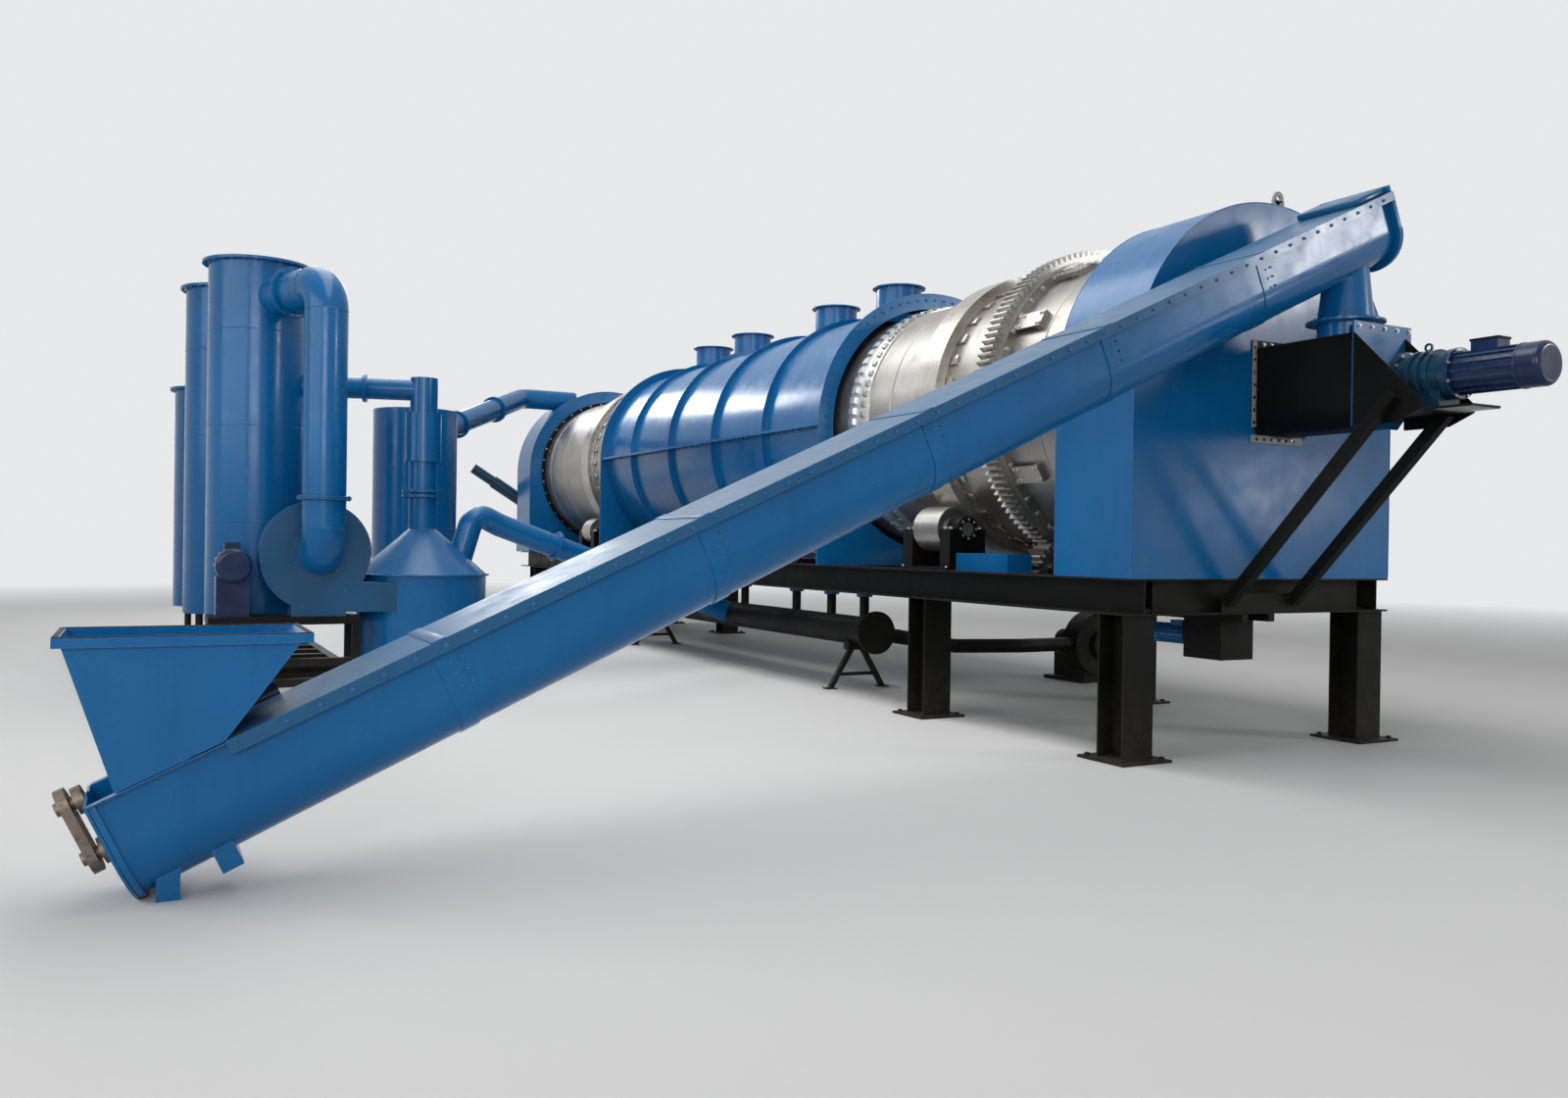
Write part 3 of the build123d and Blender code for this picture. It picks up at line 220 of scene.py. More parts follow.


# the worn colour and the edge amount lighten sharp edges: rubbed paint and a painted highlight
enamelLook = {
    "dark": (0.001, 0.088, 0.245), "light": (0.002, 0.120, 0.325), "grime": (0.002, 0.052, 0.130),
    "wearAndHighlight": (0.10, 0.22, 0.36), "dustColour": (0.10, 0.17, 0.25), "patch": 0.55, "streak": 0.28,
    "scuff": 0.20, "dust": 0.30, "edge": 0.45, "edgeRadius": 0.012, "mud": 0.0, "smudge": 4.5,
    "rough": (0.15, 0.32), "coat": 0.06, "coatRough": 0.08, "bump": 0.10, "shine": 0.26}
# the cover's blue: a greyer tint of the enamel, also darkened as painted shade for the cover lying in
# shade
coverGreyShadeLook = dict(
    enamelLook, dark=(0.006, 0.075, 0.175), light=(0.014, 0.100, 0.225), dust=0.50, scuff=0.3)
dustyLook = dict(
    enamelLook, dark=(0.002, 0.052, 0.125), light=(0.004, 0.078, 0.185), grime=(0.030, 0.030, 0.030),
    streak=0.55, rough=(0.34, 0.55), coat=0.15)
blackLook = dict(
    enamelLook, dark=(0.002, 0.002, 0.002), light=(0.006, 0.006, 0.005), grime=(0.014, 0.012, 0.009),
    wearAndHighlight=(0.06, 0.055, 0.05), dustColour=(0.07, 0.065, 0.055), dust=0.18, edge=0.35, mud=0.3,
    rough=(0.42, 0.62), coat=0.0, coatRough=0.2, scuff=0.2, shine=0.12)
navyLook = dict(
    enamelLook, dark=(0.005, 0.014, 0.050), light=(0.010, 0.026, 0.085), grime=(0.020, 0.020, 0.022),
    dust=0.25, patch=3.0)
tealLook = dict(
    enamelLook, dark=(0.005, 0.030, 0.055), light=(0.010, 0.050, 0.090), grime=(0.020, 0.022, 0.020),
    dust=0.25, patch=3.0)
hoodGreyLook = dict(
    enamelLook, dark=(0.20, 0.21, 0.21), light=(0.30, 0.31, 0.31), grime=(0.12, 0.10, 0.08),
    wearAndHighlight=(0.42, 0.40, 0.37), dust=0.2, rough=(0.3, 0.5), coat=0.1)
drumLook = {
    "dark": (0.26, 0.255, 0.24), "light": (0.40, 0.39, 0.37), "ringScale": 150.0, "turnScale": 3.0,
    "cloud": 1.3, "stain": 0.40, "stainColour": (0.36, 0.31, 0.25), "soot": 0.30,
    "sootColour": (0.18, 0.165, 0.15), "metal": 0.92, "rough": (0.26, 0.42), "bump": 0.12}
tyreLook = dict(
    drumLook, dark=(0.30, 0.285, 0.26), light=(0.50, 0.48, 0.45), ringScale=220.0, soot=0.35,
    rough=(0.20, 0.34))
gearLook = dict(drumLook, dark=(0.27, 0.26, 0.24), light=(0.46, 0.45, 0.42), cloud=2.5, soot=0.6)
blockLook = dict(
    drumLook, dark=(0.62, 0.63, 0.62), light=(0.80, 0.81, 0.80), stain=0.25, soot=0.25,
    rough=(0.22, 0.36))
boltLook = dict(
    drumLook, dark=(0.38, 0.38, 0.37), light=(0.58, 0.58, 0.56), cloud=30.0, stain=0.4, soot=0.4,
    stainColour=(0.28, 0.20, 0.13))
ironLook = dict(
    drumLook, dark=(0.10, 0.085, 0.07), light=(0.24, 0.20, 0.16), cloud=9.0, stain=0.6,
    stainColour=(0.16, 0.085, 0.045), soot=0.6, sootColour=(0.03, 0.026, 0.022), rough=(0.38, 0.6))

blueEnamel = paint("blueEnamel", enamelLook)
coverGreyShadeEnamel = paint("coverGreyShadeEnamel", coverGreyShadeLook)
dustyEnamel = paint("dustyEnamel", dustyLook)
blackEnamel = paint("blackEnamel", blackLook)
navyEnamel = paint("navyEnamel", navyLook)
tealEnamel = paint("tealEnamel", tealLook)
greyPrimer = paint("greyPrimer", hoodGreyLook)
drumSteel = steel("drumSteel", drumLook)
tyreSteel = steel("tyreSteel", tyreLook)
gearSteel = steel("gearSteel", gearLook)
blockSteel = steel("blockSteel", blockLook)
boltSteel = steel("boltSteel", boltLook)
oiledIron = steel("oiledIron", ironLook)

slotMaterials = {
    "blue_enamel": blueEnamel, "black_paint": blackEnamel, "stainless_shell": drumSteel,
    "machined_steel": gearSteel, "motor_paint": navyEnamel, "gearbox_paint": tealEnamel,
    "oiled_iron": oiledIron}
nodeMaterials = {
    "conveyor_cover": coverGreyShadeEnamel, "gas_fan": dustyEnamel, "gas_fan_motor": navyEnamel,
    "gland_ring": blockSteel, "riding_rings": tyreSteel, "feeder_support": blackEnamel}
slotOf = {entry["node"]: entry["material_slot"] for entry in frame["record"]["subparts"]}
for name, node in frame["nodes"].items():
    chosen = nodeMaterials.get(name, slotMaterials[slotOf[name]])
    node.data.materials.clear()
    node.data.materials.append(chosen)
print("materials set")


# Modelling aids

def deselect():
    if bpy.context.object and bpy.context.object.mode != "OBJECT":
        bpy.ops.object.mode_set(mode="OBJECT")
    bpy.ops.object.select_all(action="DESELECT")


def named(name):
    piece = bpy.context.object
    piece.name = name
    piece.data.name = name
    return piece


def choose(piece, test):
    # face selection by centre and normal, left in edit mode
    deselect()
    piece.select_set(True)
    bpy.context.view_layer.objects.active = piece
    bpy.ops.object.mode_set(mode="EDIT")
    bpy.ops.mesh.select_mode(type="FACE")
    bpy.ops.mesh.select_all(action="DESELECT")
    bpy.ops.object.mode_set(mode="OBJECT")
    for face in piece.data.polygons:
        face.select = test(face.center, face.normal)
    bpy.ops.object.mode_set(mode="EDIT")


def settle(piece, place, axis=(0, 0, 1), spin=0.0):
    # stands the piece's own z along the axis, at its place
    deselect()
    piece.select_set(True)
    bpy.context.view_layer.objects.active = piece
    turn = Vector(axis).to_track_quat("Z", "Y").to_matrix().to_4x4()
    piece.matrix_world = Matrix.Translation(place) @ turn @ Matrix.Rotation(spin, 4, "Z")
    bpy.ops.object.transform_apply(location=True, rotation=True, scale=True)
    return piece


def dress(piece, material, body="root", bevel=0.0, smooth=35):
    deselect()
    piece.select_set(True)
    bpy.context.view_layer.objects.active = piece
    if bevel > 0:
        edge = piece.modifiers.new("edge", "BEVEL")
        edge.width = bevel
        edge.segments = 2
        edge.limit_method = "ANGLE"
        edge.angle_limit = math.radians(40)
        bpy.ops.object.modifier_apply(modifier=edge.name)
    bpy.ops.object.shade_smooth_by_angle(angle=math.radians(smooth))
    piece.data.materials.clear()
    piece.data.materials.append(material)
    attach(piece, body)
    return piece


def ringPlate(name, outer, inner, thick, sides=48):
    # flat ring about z, from its middle
    deselect()
    bpy.ops.mesh.primitive_cylinder_add(vertices=sides, radius=outer, depth=thick)
    piece = named(name)
    choose(piece, lambda centre, normal: abs(normal.z) > 0.9)
    bpy.ops.mesh.inset(thickness=(outer - inner) * math.cos(math.pi / sides))
    bpy.ops.mesh.bridge_edge_loops()
    bpy.ops.mesh.select_all(action="SELECT")
    bpy.ops.mesh.normals_make_consistent(inside=False)
    bpy.ops.object.mode_set(mode="OBJECT")
    return piece


def slab(name, low, high, bevel=0.002):
    # bevelled plate between two corners
    deselect()
    size = [abs(b - a) for a, b in zip(low, high)]
    bpy.ops.mesh.primitive_cube_add(size=1, location=[(a + b) / 2 for a, b in zip(low, high)])
    piece = named(name)
    piece.scale = size
    bpy.ops.object.transform_apply(location=True, rotation=True, scale=True)
    bpy.ops.object.mode_set(mode="EDIT")
    bpy.ops.mesh.select_all(action="SELECT")
    bpy.ops.mesh.bevel(offset=min(bevel, min(size) * 0.3), segments=2, affect="EDGES")
    bpy.ops.object.mode_set(mode="OBJECT")
    return piece


def drum(name, radius, depth, sides=32, crown=0.0):
    # round boss standing on z = 0, its top edge drawn in
    deselect()
    bpy.ops.mesh.primitive_cylinder_add(vertices=sides, radius=radius, depth=depth,
                                        location=(0, 0, depth / 2))
    piece = named(name)
    bpy.ops.object.transform_apply(location=True, rotation=True, scale=True)
    if crown > 0:
        choose(piece, lambda centre, normal: normal.z > 0.9)
        bpy.ops.mesh.inset(thickness=crown)
        bpy.ops.transform.translate(value=(0, 0, crown * 0.6))
        bpy.ops.object.mode_set(mode="OBJECT")
    return piece


def hexBolt(name, size):
    # washer and six-sided head on z = 0
    piece = drum(name, size * 1.25, size * 0.16, 12)
    bpy.ops.object.mode_set(mode="EDIT")
    bpy.ops.mesh.select_all(action="DESELECT")
    bpy.ops.mesh.primitive_cylinder_add(vertices=6, radius=size, depth=size * 0.7,
                                        location=(0, 0, size * 0.5))
    bpy.ops.object.mode_set(mode="OBJECT")
    choose(piece, lambda centre, normal: normal.z > 0.9 and centre.z > size * 0.8)
    bpy.ops.mesh.inset(thickness=size * 0.14)
    bpy.ops.transform.translate(value=(0, 0, size * 0.09))
    bpy.ops.object.mode_set(mode="OBJECT")
    return piece


def rivet(name, size):
    return drum(name, size, size * 0.3, 10, size * 0.35)


def weldRing(name, place, axis, radius, thick, segments=96, sides=6):
    # round weld run about an axis
    deselect()
    bpy.ops.mesh.primitive_torus_add(major_segments=segments, minor_segments=sides, major_radius=radius,
                                     minor_radius=thick)
    return settle(named(name), place, axis)


def copies(master, name, places, material, body="root"):
    # one mesh per copy, joined into a single piece
    made = []
    for place, axis, spin in places:
        one = master.copy()
        one.data = master.data.copy()
        bpy.context.collection.objects.link(one)
        turn = Vector(axis).to_track_quat("Z", "Y").to_matrix().to_4x4()
        one.matrix_world = Matrix.Translation(place) @ turn @ Matrix.Rotation(spin, 4, "Z")
        made.append(one)
    deselect()
    for one in made:
        one.select_set(True)
    bpy.context.view_layer.objects.active = made[0]
    if len(made) > 1:
        bpy.ops.object.join()
    piece = named(name)
    bpy.ops.object.transform_apply(location=True, rotation=True, scale=True)
    return dress(piece, material, body)


def join(name, pieces):
    deselect()
    for one in pieces:
        one.select_set(True)
    bpy.context.view_layer.objects.active = pieces[0]
    if len(pieces) > 1:
        bpy.ops.object.join()
    return named(name)


def around(centre, axis, radius, count, face, start=0.0):
    # places round an axis, each facing along the face vector
    axis = Vector(axis).normalized()
    side = axis.orthogonal().normalized()
    other = axis.cross(side)
    out = []
    for index in range(count):
        turn = start + 2 * math.pi * index / count
        way = side * math.cos(turn) + other * math.sin(turn)
        out.append((centre + way * radius, face, turn))
    return out


def row(start, end, count, face):
    return [(start.lerp(end, index / (count - 1)), face, 0.3 * index) for index in range(count)]


def remove(*pieces):
    for piece in pieces:
        bpy.data.objects.remove(piece)


# Girth gear, riding rings and gland

turning = {
    "gear": -1720.0, "springs": 12, "springFeet": 330.0, "flange": 1278.0,
    "tyres": (-2600.0, -11950.0), "tyreHalf": 195.0, "pads": 36, "gland": -3860.0, "glandBlocks": 72}

bolt24 = hexBolt("bolt24", 0.020)
bolt16 = hexBolt("bolt16", 0.013)
bolt12 = hexBolt("bolt12", 0.010)
rivetHead = rivet("rivetHead", 0.008)


def onDrum(x, turn, radius):
    # point and outward way at an angle round the kiln, turn 0 on top
    out = Vector((0, math.sin(turn), math.cos(turn)))
    return at(x, 0, kiln["z"]) + out * radius / 1000, out


springPlaces = []
for index in range(turning["springs"]):
    turn = -2 * math.pi * index / turning["springs"]
    start = turning["gear"] + 90 + 40
    for x in (start + 30, start + 80, start + turning["springFeet"] - 50,
              start + turning["springFeet"] - 16):
        for side in (-0.04, 0.04):
            place, out = onDrum(x, turn + side, turning["flange"] - 25)
            springPlaces.append((place, out, 0.0))
copies(bolt16, "springBolts", springPlaces, boltSteel, "drum")

gearFace = around(at(turning["gear"] + 130, 0, kiln["z"]), (1, 0, 0), 1.242, 48, (1, 0, 0), 0.06)
copies(bolt24, "gearFlangeBolts", gearFace, boltSteel, "drum")

pad = slab("pad", (-0.045, -0.040, 0), (0.045, 0.040, 0.024), 0.004)
padPlaces = []
for tyre in turning["tyres"]:
    for side in (-1, 1):
        for index in range(turning["pads"]):
            place, out = onDrum(tyre + side * (turning["tyreHalf"] + 48),
                                2 * math.pi * index / turning["pads"], 1199)
            padPlaces.append((place, out, math.pi / 2))
copies(pad, "ringPads", padPlaces, tyreSteel, "drum")

greyBlock = slab("greyBlock", (-0.030, -0.026, 0), (0.030, 0.026, 0.020), 0.004)
blockPlaces = []
for index in range(turning["glandBlocks"]):
    place, out = onDrum(turning["gland"] + 95, 2 * math.pi * (index + 0.5) / turning["glandBlocks"],
                        1213)
    blockPlaces.append((place, out, math.pi / 2))
copies(greyBlock, "glandKeys", blockPlaces, gearSteel, "drum")

welds = {"places": (-1180.0, -3300.0, -11180.0, -13300.0, -14050.0), "radius": 1.2006, "thick": 0.0055}
for index, x in enumerate(welds["places"]):
    bead = weldRing("drumWeld%d" % index, at(x, 0, kiln["z"]), (1, 0, 0), welds["radius"],
                    welds["thick"], 128, 8)
    dress(bead, gearSteel, "drum")
remove(pad, greyBlock)
print("drum dressed")


# Heating jacket

jacket = {
    "ends": (-10780.0, -4250.0), "seam": 1375.0, "stubs": (-5020.0, -6400.0, -8680.0, -9980.0),
    "stubRadius": 0.250, "stubTop": 4350.0, "plateRadius": 1390.0}
seamPlaces = []
for side in (-1, 1):
    for z, way in ((kiln["z"] + 14, 1), (kiln["z"] - 14, -1)):
        seamPlaces += row(at(jacket["ends"][0] + 90, side * jacket["seam"], z),
                          at(jacket["ends"][1] - 90, side * jacket["seam"], z),
                          44, (0, 0, way))
copies(bolt16, "jacketSeamBolts", seamPlaces, blueEnamel)

flanges = []
for x in jacket["stubs"]:
    collar = ringPlate("collar", jacket["stubRadius"] + 0.045, jacket["stubRadius"] - 0.009, 0.016, 64)
    flanges.append(settle(collar, at(x, 0, jacket["stubTop"] - 8)))
dress(join("stubFlanges", flanges), blueEnamel, bevel=0.003)
stubBolts = []
for x in jacket["stubs"]:
    stubBolts += around(at(x, 0, jacket["stubTop"] - 16), (0, 0, 1), jacket["stubRadius"] + 0.022, 16,
                        (0, 0, -1))
copies(bolt12, "stubBolts", stubBolts, blueEnamel)

plateBolts = []
for x, way in ((jacket["ends"][0] - 14, -1), (jacket["ends"][1] + 14, 1)):
    for index in range(40):
        turn = math.pi * (index / 39 - 0.5) * 1.02
        place, out = onDrum(x, turn, jacket["plateRadius"] - 20)
        plateBolts.append((place, (way, 0, 0), turn))
copies(bolt16, "jacketPlateBolts", plateBolts, blueEnamel)
print("jacket dressed")


# Columns and deck
deck = {
    "columns": (-130.0, -2560.0, -11990.0, -14530.0), "anchor": 180.0, "plateTop": 20.0,
    "beamFlange": 14.0, "headReach": 85.0, "beamUnder": 1030.0}
anchorPlaces = []
headPlaces = []
for x in deck["columns"]:
    for side in (-kiln["gauge"], kiln["gauge"]):
        for dx in (-1, 1):
            for dy in (-1, 1):
                spot = (x + dx * deck["anchor"], side + dy * deck["anchor"])
                anchorPlaces.append((at(spot[0], spot[1], deck["plateTop"]), (0, 0, 1), 0.4 * dx + dy))
                spot = (x + dx * deck["headReach"], side + dy * deck["headReach"])
                headPlaces.append((at(spot[0], spot[1], deck["beamUnder"] + deck["beamFlange"]),
                                   (0, 0, 1), 0.2 * dy))
copies(bolt24, "anchorNuts", anchorPlaces, blackEnamel)
copies(bolt24, "columnHeadBolts", headPlaces, blackEnamel)
print("deck dressed")


# Hoods over the drum ends
hoods = {
    "feed": {"front": 50.0, "back": -750.0, "radius": 1360.0},
    "discharge": {"front": -14400.0, "back": -15200.0, "radius": 1460.0}, "opening": 1.262,
    "clear": 1.212, "thick": 0.012, "bolts": 40, "bead": 0.0045, "lug": (10.0, 110.0)}


def archBead(name, x, radius, drop, thick):
    # weld run over a hood's round top and down both of its sides
    piece = weldRing(name, (0, 0, 0), (1, 0, 0), radius, thick)
    choose(piece, lambda centre, normal: centre.z < 0)
    bpy.ops.mesh.delete(type="FACE")
    bpy.ops.mesh.select_mode(type="EDGE")
    bpy.ops.mesh.select_non_manifold()
    bpy.ops.mesh.extrude_region_move(TRANSFORM_OT_translate={"value": (0, 0, -drop)})
    bpy.ops.mesh.select_all(action="SELECT")
    bpy.ops.mesh.fill_holes(sides=0)
    bpy.ops.mesh.normals_make_consistent(inside=False)
    bpy.ops.object.mode_set(mode="OBJECT")
    return settle(piece, at(x, 0, kiln["z"]))


hoodDrop = (kiln["z"] - kiln["deckTop"]) / 1000
hoodBeads = []
for key, places in (("feed", (hoods["feed"]["front"], hoods["feed"]["back"])),
                    ("discharge", (hoods["discharge"]["front"], hoods["discharge"]["back"]))):
    for x in places:
        hoodBeads.append(archBead("bead", x, hoods[key]["radius"] / 1000 - 0.001, hoodDrop - 0.006,
                                  hoods["bead"]))
dress(join("hoodBeads", hoodBeads), blueEnamel)

collars = []
collarBolts = []
for x, way in ((hoods["feed"]["back"] - 6, -1), (hoods["discharge"]["front"] + 6, 1)):
    collar = ringPlate("collar", hoods["opening"], hoods["clear"], hoods["thick"], 96)
    collars.append(settle(collar, at(x, 0, kiln["z"]), (1, 0, 0)))
    collarBolts += around(at(x + 6 * way, 0, kiln["z"]), (1, 0, 0),
                          (hoods["opening"] + hoods["clear"]) / 2, hoods["bolts"],
                          (way, 0, 0))
dress(join("hoodCollars", collars), blackEnamel, bevel=0.002)
copies(bolt12, "hoodCollarBolts", collarBolts, boltSteel)

lugX, lugY = hoods["lug"]
lugTop = kiln["z"] + hoods["feed"]["radius"]
lugFoot = slab("lugFoot", at(lugX - 30, lugY - 62, lugTop - 12), at(lugX - 12, lugY + 62, lugTop + 62),
               0.005)
lugEye = ringPlate("lugEye", 0.052, 0.021, 0.018, 28)
settle(lugEye, at(lugX - 21, lugY, lugTop + 72), (1, 0, 0))
dress(join("hoodLug", [lugFoot, lugEye]), greyPrimer, bevel=0.0015)
print("hoods dressed")


# Screw feeder
feeder = {
    "near": -155.0, "far": 375.0, "top": 2990.0, "bottom": 2350.0, "rim": 55.0, "corner": 150.0,
    "rimFace": 58.0, "plateFace": 864.0, "plateSides": (-160.0, 440.0), "plateTop": 3070.0,
    "drive": 2660.0, "centre": 110.0, "inlet": (650.0, 30.0, 3105.0), "inletRadius": 0.235,
    "gearbox": 184.0, "gearboxStart": 1054.0, "motorStart": 1434.0, "motorLong": 584.0,
    "motorRadius": 140.0, "shelf": 2445.0, "hoops": (0.030, 0.055, 0.080, 0.105),
    "seamTurns": (-2.4, -0.75, 0.8)}

rimPlaces = []
half = feeder["rim"] / 2
low, high = feeder["bottom"] + feeder["corner"], feeder["top"] - 30
for y, way in ((feeder["near"] - half, -1), (feeder["far"] + half, 1)):
    rimPlaces += row(at(feeder["rimFace"], y, low), at(feeder["rimFace"], y, high), 7, (1, 0, 0))
rimPlaces += row(at(feeder["rimFace"], feeder["near"] + 60, feeder["top"] + half),
                 at(feeder["rimFace"], feeder["far"] - 60, feeder["top"] + half), 6, (1, 0, 0))
rimPlaces += row(at(feeder["rimFace"], feeder["near"] + 170, feeder["bottom"] - half),
                 at(feeder["rimFace"], feeder["far"] - 170, feeder["bottom"] - half), 3, (1, 0, 0))
copies(bolt16, "feederRimBolts", rimPlaces, boltSteel)

plateBolts = row(at(feeder["plateFace"], feeder["plateSides"][0] + 55, feeder["plateTop"] - 32),
                 at(feeder["plateFace"], feeder["plateSides"][1] - 22, feeder["plateTop"] - 32), 5, (1,
                         0, 0))
plateBolts += row(at(feeder["plateFace"], feeder["plateSides"][1] - 24, feeder["top"] - 60),
                  at(feeder["plateFace"], feeder["plateSides"][1] - 24, feeder["shelf"] + 120), 4, (1,
                          0, 0))
copies(bolt16, "endPlateBolts", plateBolts, boltSteel)

x, y, z = feeder["inlet"]
inletBolts = around(at(x, y, z), (0, 0, 1), feeder["inletRadius"], 16, (0, 0, 1), 0.1)
copies(bolt16, "inletBolts", inletBolts, blueEnamel)

driveCentre = at(0, feeder["centre"], feeder["drive"])
caseBolts = around(Vector((at(feeder["gearboxStart"] + 40, 0, 0).x, driveCentre.y, driveCentre.z)),
                   (1, 0, 0),
                   0.166, 12, (1, 0, 0), 0.26)
copies(bolt12, "gearboxBolts", caseBolts, boltSteel)
lanternBolts = around(Vector((at(feeder["plateFace"] + 26, 0, 0).x, driveCentre.y, driveCentre.z)),
                      (1, 0, 0),
                      0.130, 8, (1, 0, 0), 0.2)
lanternFlange = ringPlate("lanternFlange", 0.150, 0.104, 0.026, 40)
settle(lanternFlange, Vector((at(feeder["plateFace"] + 13, 0, 0).x, driveCentre.y, driveCentre.z)),
       (1, 0, 0))
dress(lanternFlange, tealEnamel, bevel=0.003)
copies(bolt12, "lanternBolts", lanternBolts, boltSteel)

eye = ringPlate("gearboxEye", 0.030, 0.016, 0.014, 24)
settle(eye, at(feeder["gearboxStart"] + 170, feeder["centre"],
               feeder["drive"] + feeder["gearbox"] * 0.95 + 22), (0, 1, 0))
dress(eye, tealEnamel, bevel=0.003)

grille = []
motorEnd = at(feeder["motorStart"] + feeder["motorLong"], feeder["centre"], feeder["drive"])
for radius in feeder["hoops"]:
    hoop = ringPlate("hoop", radius + 0.004, radius - 0.004, 0.003, 40)
    grille.append(settle(hoop, motorEnd - Vector((0.0018, 0, 0)), (1, 0, 0)))
dress(join("motorGrille", grille), blackEnamel)
band = ringPlate("motorBand", feeder["motorRadius"] / 1000 + 0.004,
                 feeder["motorRadius"] / 1000 - 0.006, 0.016, 48)
settle(band, at(feeder["motorStart"] + feeder["motorLong"] * 0.735, feeder["centre"], feeder["drive"]),
       (1, 0, 0))
dress(band, navyEnamel, bevel=0.003)
motorFlange = ringPlate("motorFlange", 0.168, 0.120, 0.022, 40)
settle(motorFlange, at(feeder["motorStart"] + 11, feeder["centre"], feeder["drive"]), (1, 0, 0))
dress(motorFlange, navyEnamel, bevel=0.003)
flangeBolts = around(at(feeder["motorStart"] + 22, feeder["centre"], feeder["drive"]), (1, 0, 0), 0.153,
                     8, (1, 0, 0), 0.39)
copies(bolt12, "motorFlangeBolts", flangeBolts, boltSteel)
lid = slab("terminalLid", at(feeder["motorStart"] + 108, feeder["centre"] - 68, feeder["drive"] + 186),
           at(feeder["motorStart"] + 300, feeder["centre"] + 68, feeder["drive"] + 202), 0.004)
dress(lid, blackEnamel)

strips = [slab("strip", at(58, -212, 2405), at(63, -168, 3040), 0.0015),
          slab("strip", at(50, -214, 2291), at(63, 330, 2347), 0.0015)]
dress(join("rimStrips", strips), greyPrimer)
# black discs on the rim strips: painted shade standing for the dark insides of holes
holeShadePlaces = [(at(63, -160 + 78 * index, 2319), (1, 0, 0), 0.0) for index in range(6)]
holeShadePlaces += [(at(63, -190, 2440 + 92 * index), (1, 0, 0), 0.0) for index in range(7)]
holeShadeDisc = drum("holeShadeDisc", 0.013, 0.0012, 16)
copies(holeShadeDisc, "stripHoleShades", holeShadePlaces, blackEnamel)
remove(holeShadeDisc)
# a thin pale plate under the gearbox shelf: a painted highlight for the lit shelf edge
shelfHighlight = slab("shelfHighlightPlate", at(1374, -36, 2426), at(1616, 256, 2429), 0.001)
dress(shelfHighlight, greyPrimer)


def rod(name, start, end, radius, sides=12):
    # straight round bar between two points
    piece = drum(name, radius, (end - start).length, sides)
    return settle(piece, start, tuple(end - start))


x, y, z = feeder["inlet"]
seams = []
for turn in feeder["seamTurns"]:
    side = Vector((math.cos(turn), math.sin(turn), 0))
    seams.append(rod("seam", at(x, y, z) + side * 0.185, at(x, y, z + 235) + side * 0.1565, 0.0035, 8))
dress(join("coneSeams", seams), blueEnamel)
print("feeder dressed")


# Inclined conveyor
conveyor = {
    "x": 650.0, "headY": 126.0, "headZ": 3962.0, "pitch": 24.6, "wide": 464.0, "deep": 464.0,
    "joints": (1322.0, 2744.0, 4126.0, 5569.0, 6961.0), "reach": 45.0}
tilt = math.radians(conveyor["pitch"])
alongWay = Vector((0, -math.cos(tilt), -math.sin(tilt)))
liftWay = Vector((0, -math.sin(tilt), math.cos(tilt)))


def onConveyor(along, lift, side=0.0):
    # point by its distance down from the head, its height over the cover line and its place across
    head = at(conveyor["x"] + side, conveyor["headY"], conveyor["headZ"])
    return head + (alongWay * along + liftWay * lift) / 1000


skirtPlaces = []
for side in (-1, 1):
    across = side * (conveyor["wide"] / 2 + conveyor["reach"] + 6)
    skirtPlaces += row(onConveyor(120, -28, across), onConveyor(7700, -28, across), 54, (side, 0, 0))
copies(bolt12, "coverBolts", skirtPlaces, blueEnamel)

strapRivets = []
for joint in conveyor["joints"]:
    for side in (-1, 1):
        for shift in (-26, 26):
            for lift in (-110, -170, -230):
                strapRivets.append((onConveyor(joint + shift, lift, side * (conveyor["wide"] / 2 + 6)),
                                    (side, 0, 0), 0.0))
copies(rivetHead, "strapRivets", strapRivets, blueEnamel)
print("conveyor dressed")


def troughBand(name, along, reach, thick, clear=0.0005):
    # U-shaped band round the trough, its middle at a distance down from the head
    bore = conveyor["wide"] / 2000
    piece = ringPlate(name, bore + reach, bore + clear, thick, 64)
    choose(piece, lambda centre, normal: centre.y > 0)
    bpy.ops.mesh.delete(type="FACE")
    bpy.ops.mesh.select_mode(type="EDGE")
    bpy.ops.mesh.select_non_manifold()
    bpy.ops.mesh.extrude_region_move(TRANSFORM_OT_translate={"value": (0,
            (conveyor["deep"] - conveyor["wide"] / 2) / 1000, 0)})
    bpy.ops.mesh.select_all(action="SELECT")
    bpy.ops.mesh.fill_holes(sides=0)
    bpy.ops.mesh.normals_make_consistent(inside=False)
    bpy.ops.object.mode_set(mode="OBJECT")
    lift = conveyor["wide"] / 2 - conveyor["deep"]
    return settle(piece, onConveyor(along, lift), alongWay)


bands = {"head": 14.0, "low": 8468.0, "reach": 0.045, "thick": 0.022}
headBands = [troughBand("band", bands["head"], bands["reach"], bands["thick"]),
             troughBand("band", bands["low"], 0.016, 0.026)]
bar = slab("bar", (-0.277, -0.011, -0.004), (0.277, 0.011, 0.054), 0.006)
headBands.append(settle(bar, onConveyor(bands["head"], 0), liftWay))
dress(join("conveyorFlanges", headBands), blueEnamel, bevel=0.003)
uBolts = []
for index in range(15):
    turn = math.pi * index / 14
    lift = conveyor["wide"] / 2 - conveyor["deep"] - math.sin(turn) * 256
    uBolts.append((onConveyor(-12, lift, 256 * math.cos(turn)), tuple(-alongWay), 0.2 * index))
copies(bolt12, "conveyorHeadBolts", uBolts, blueEnamel)

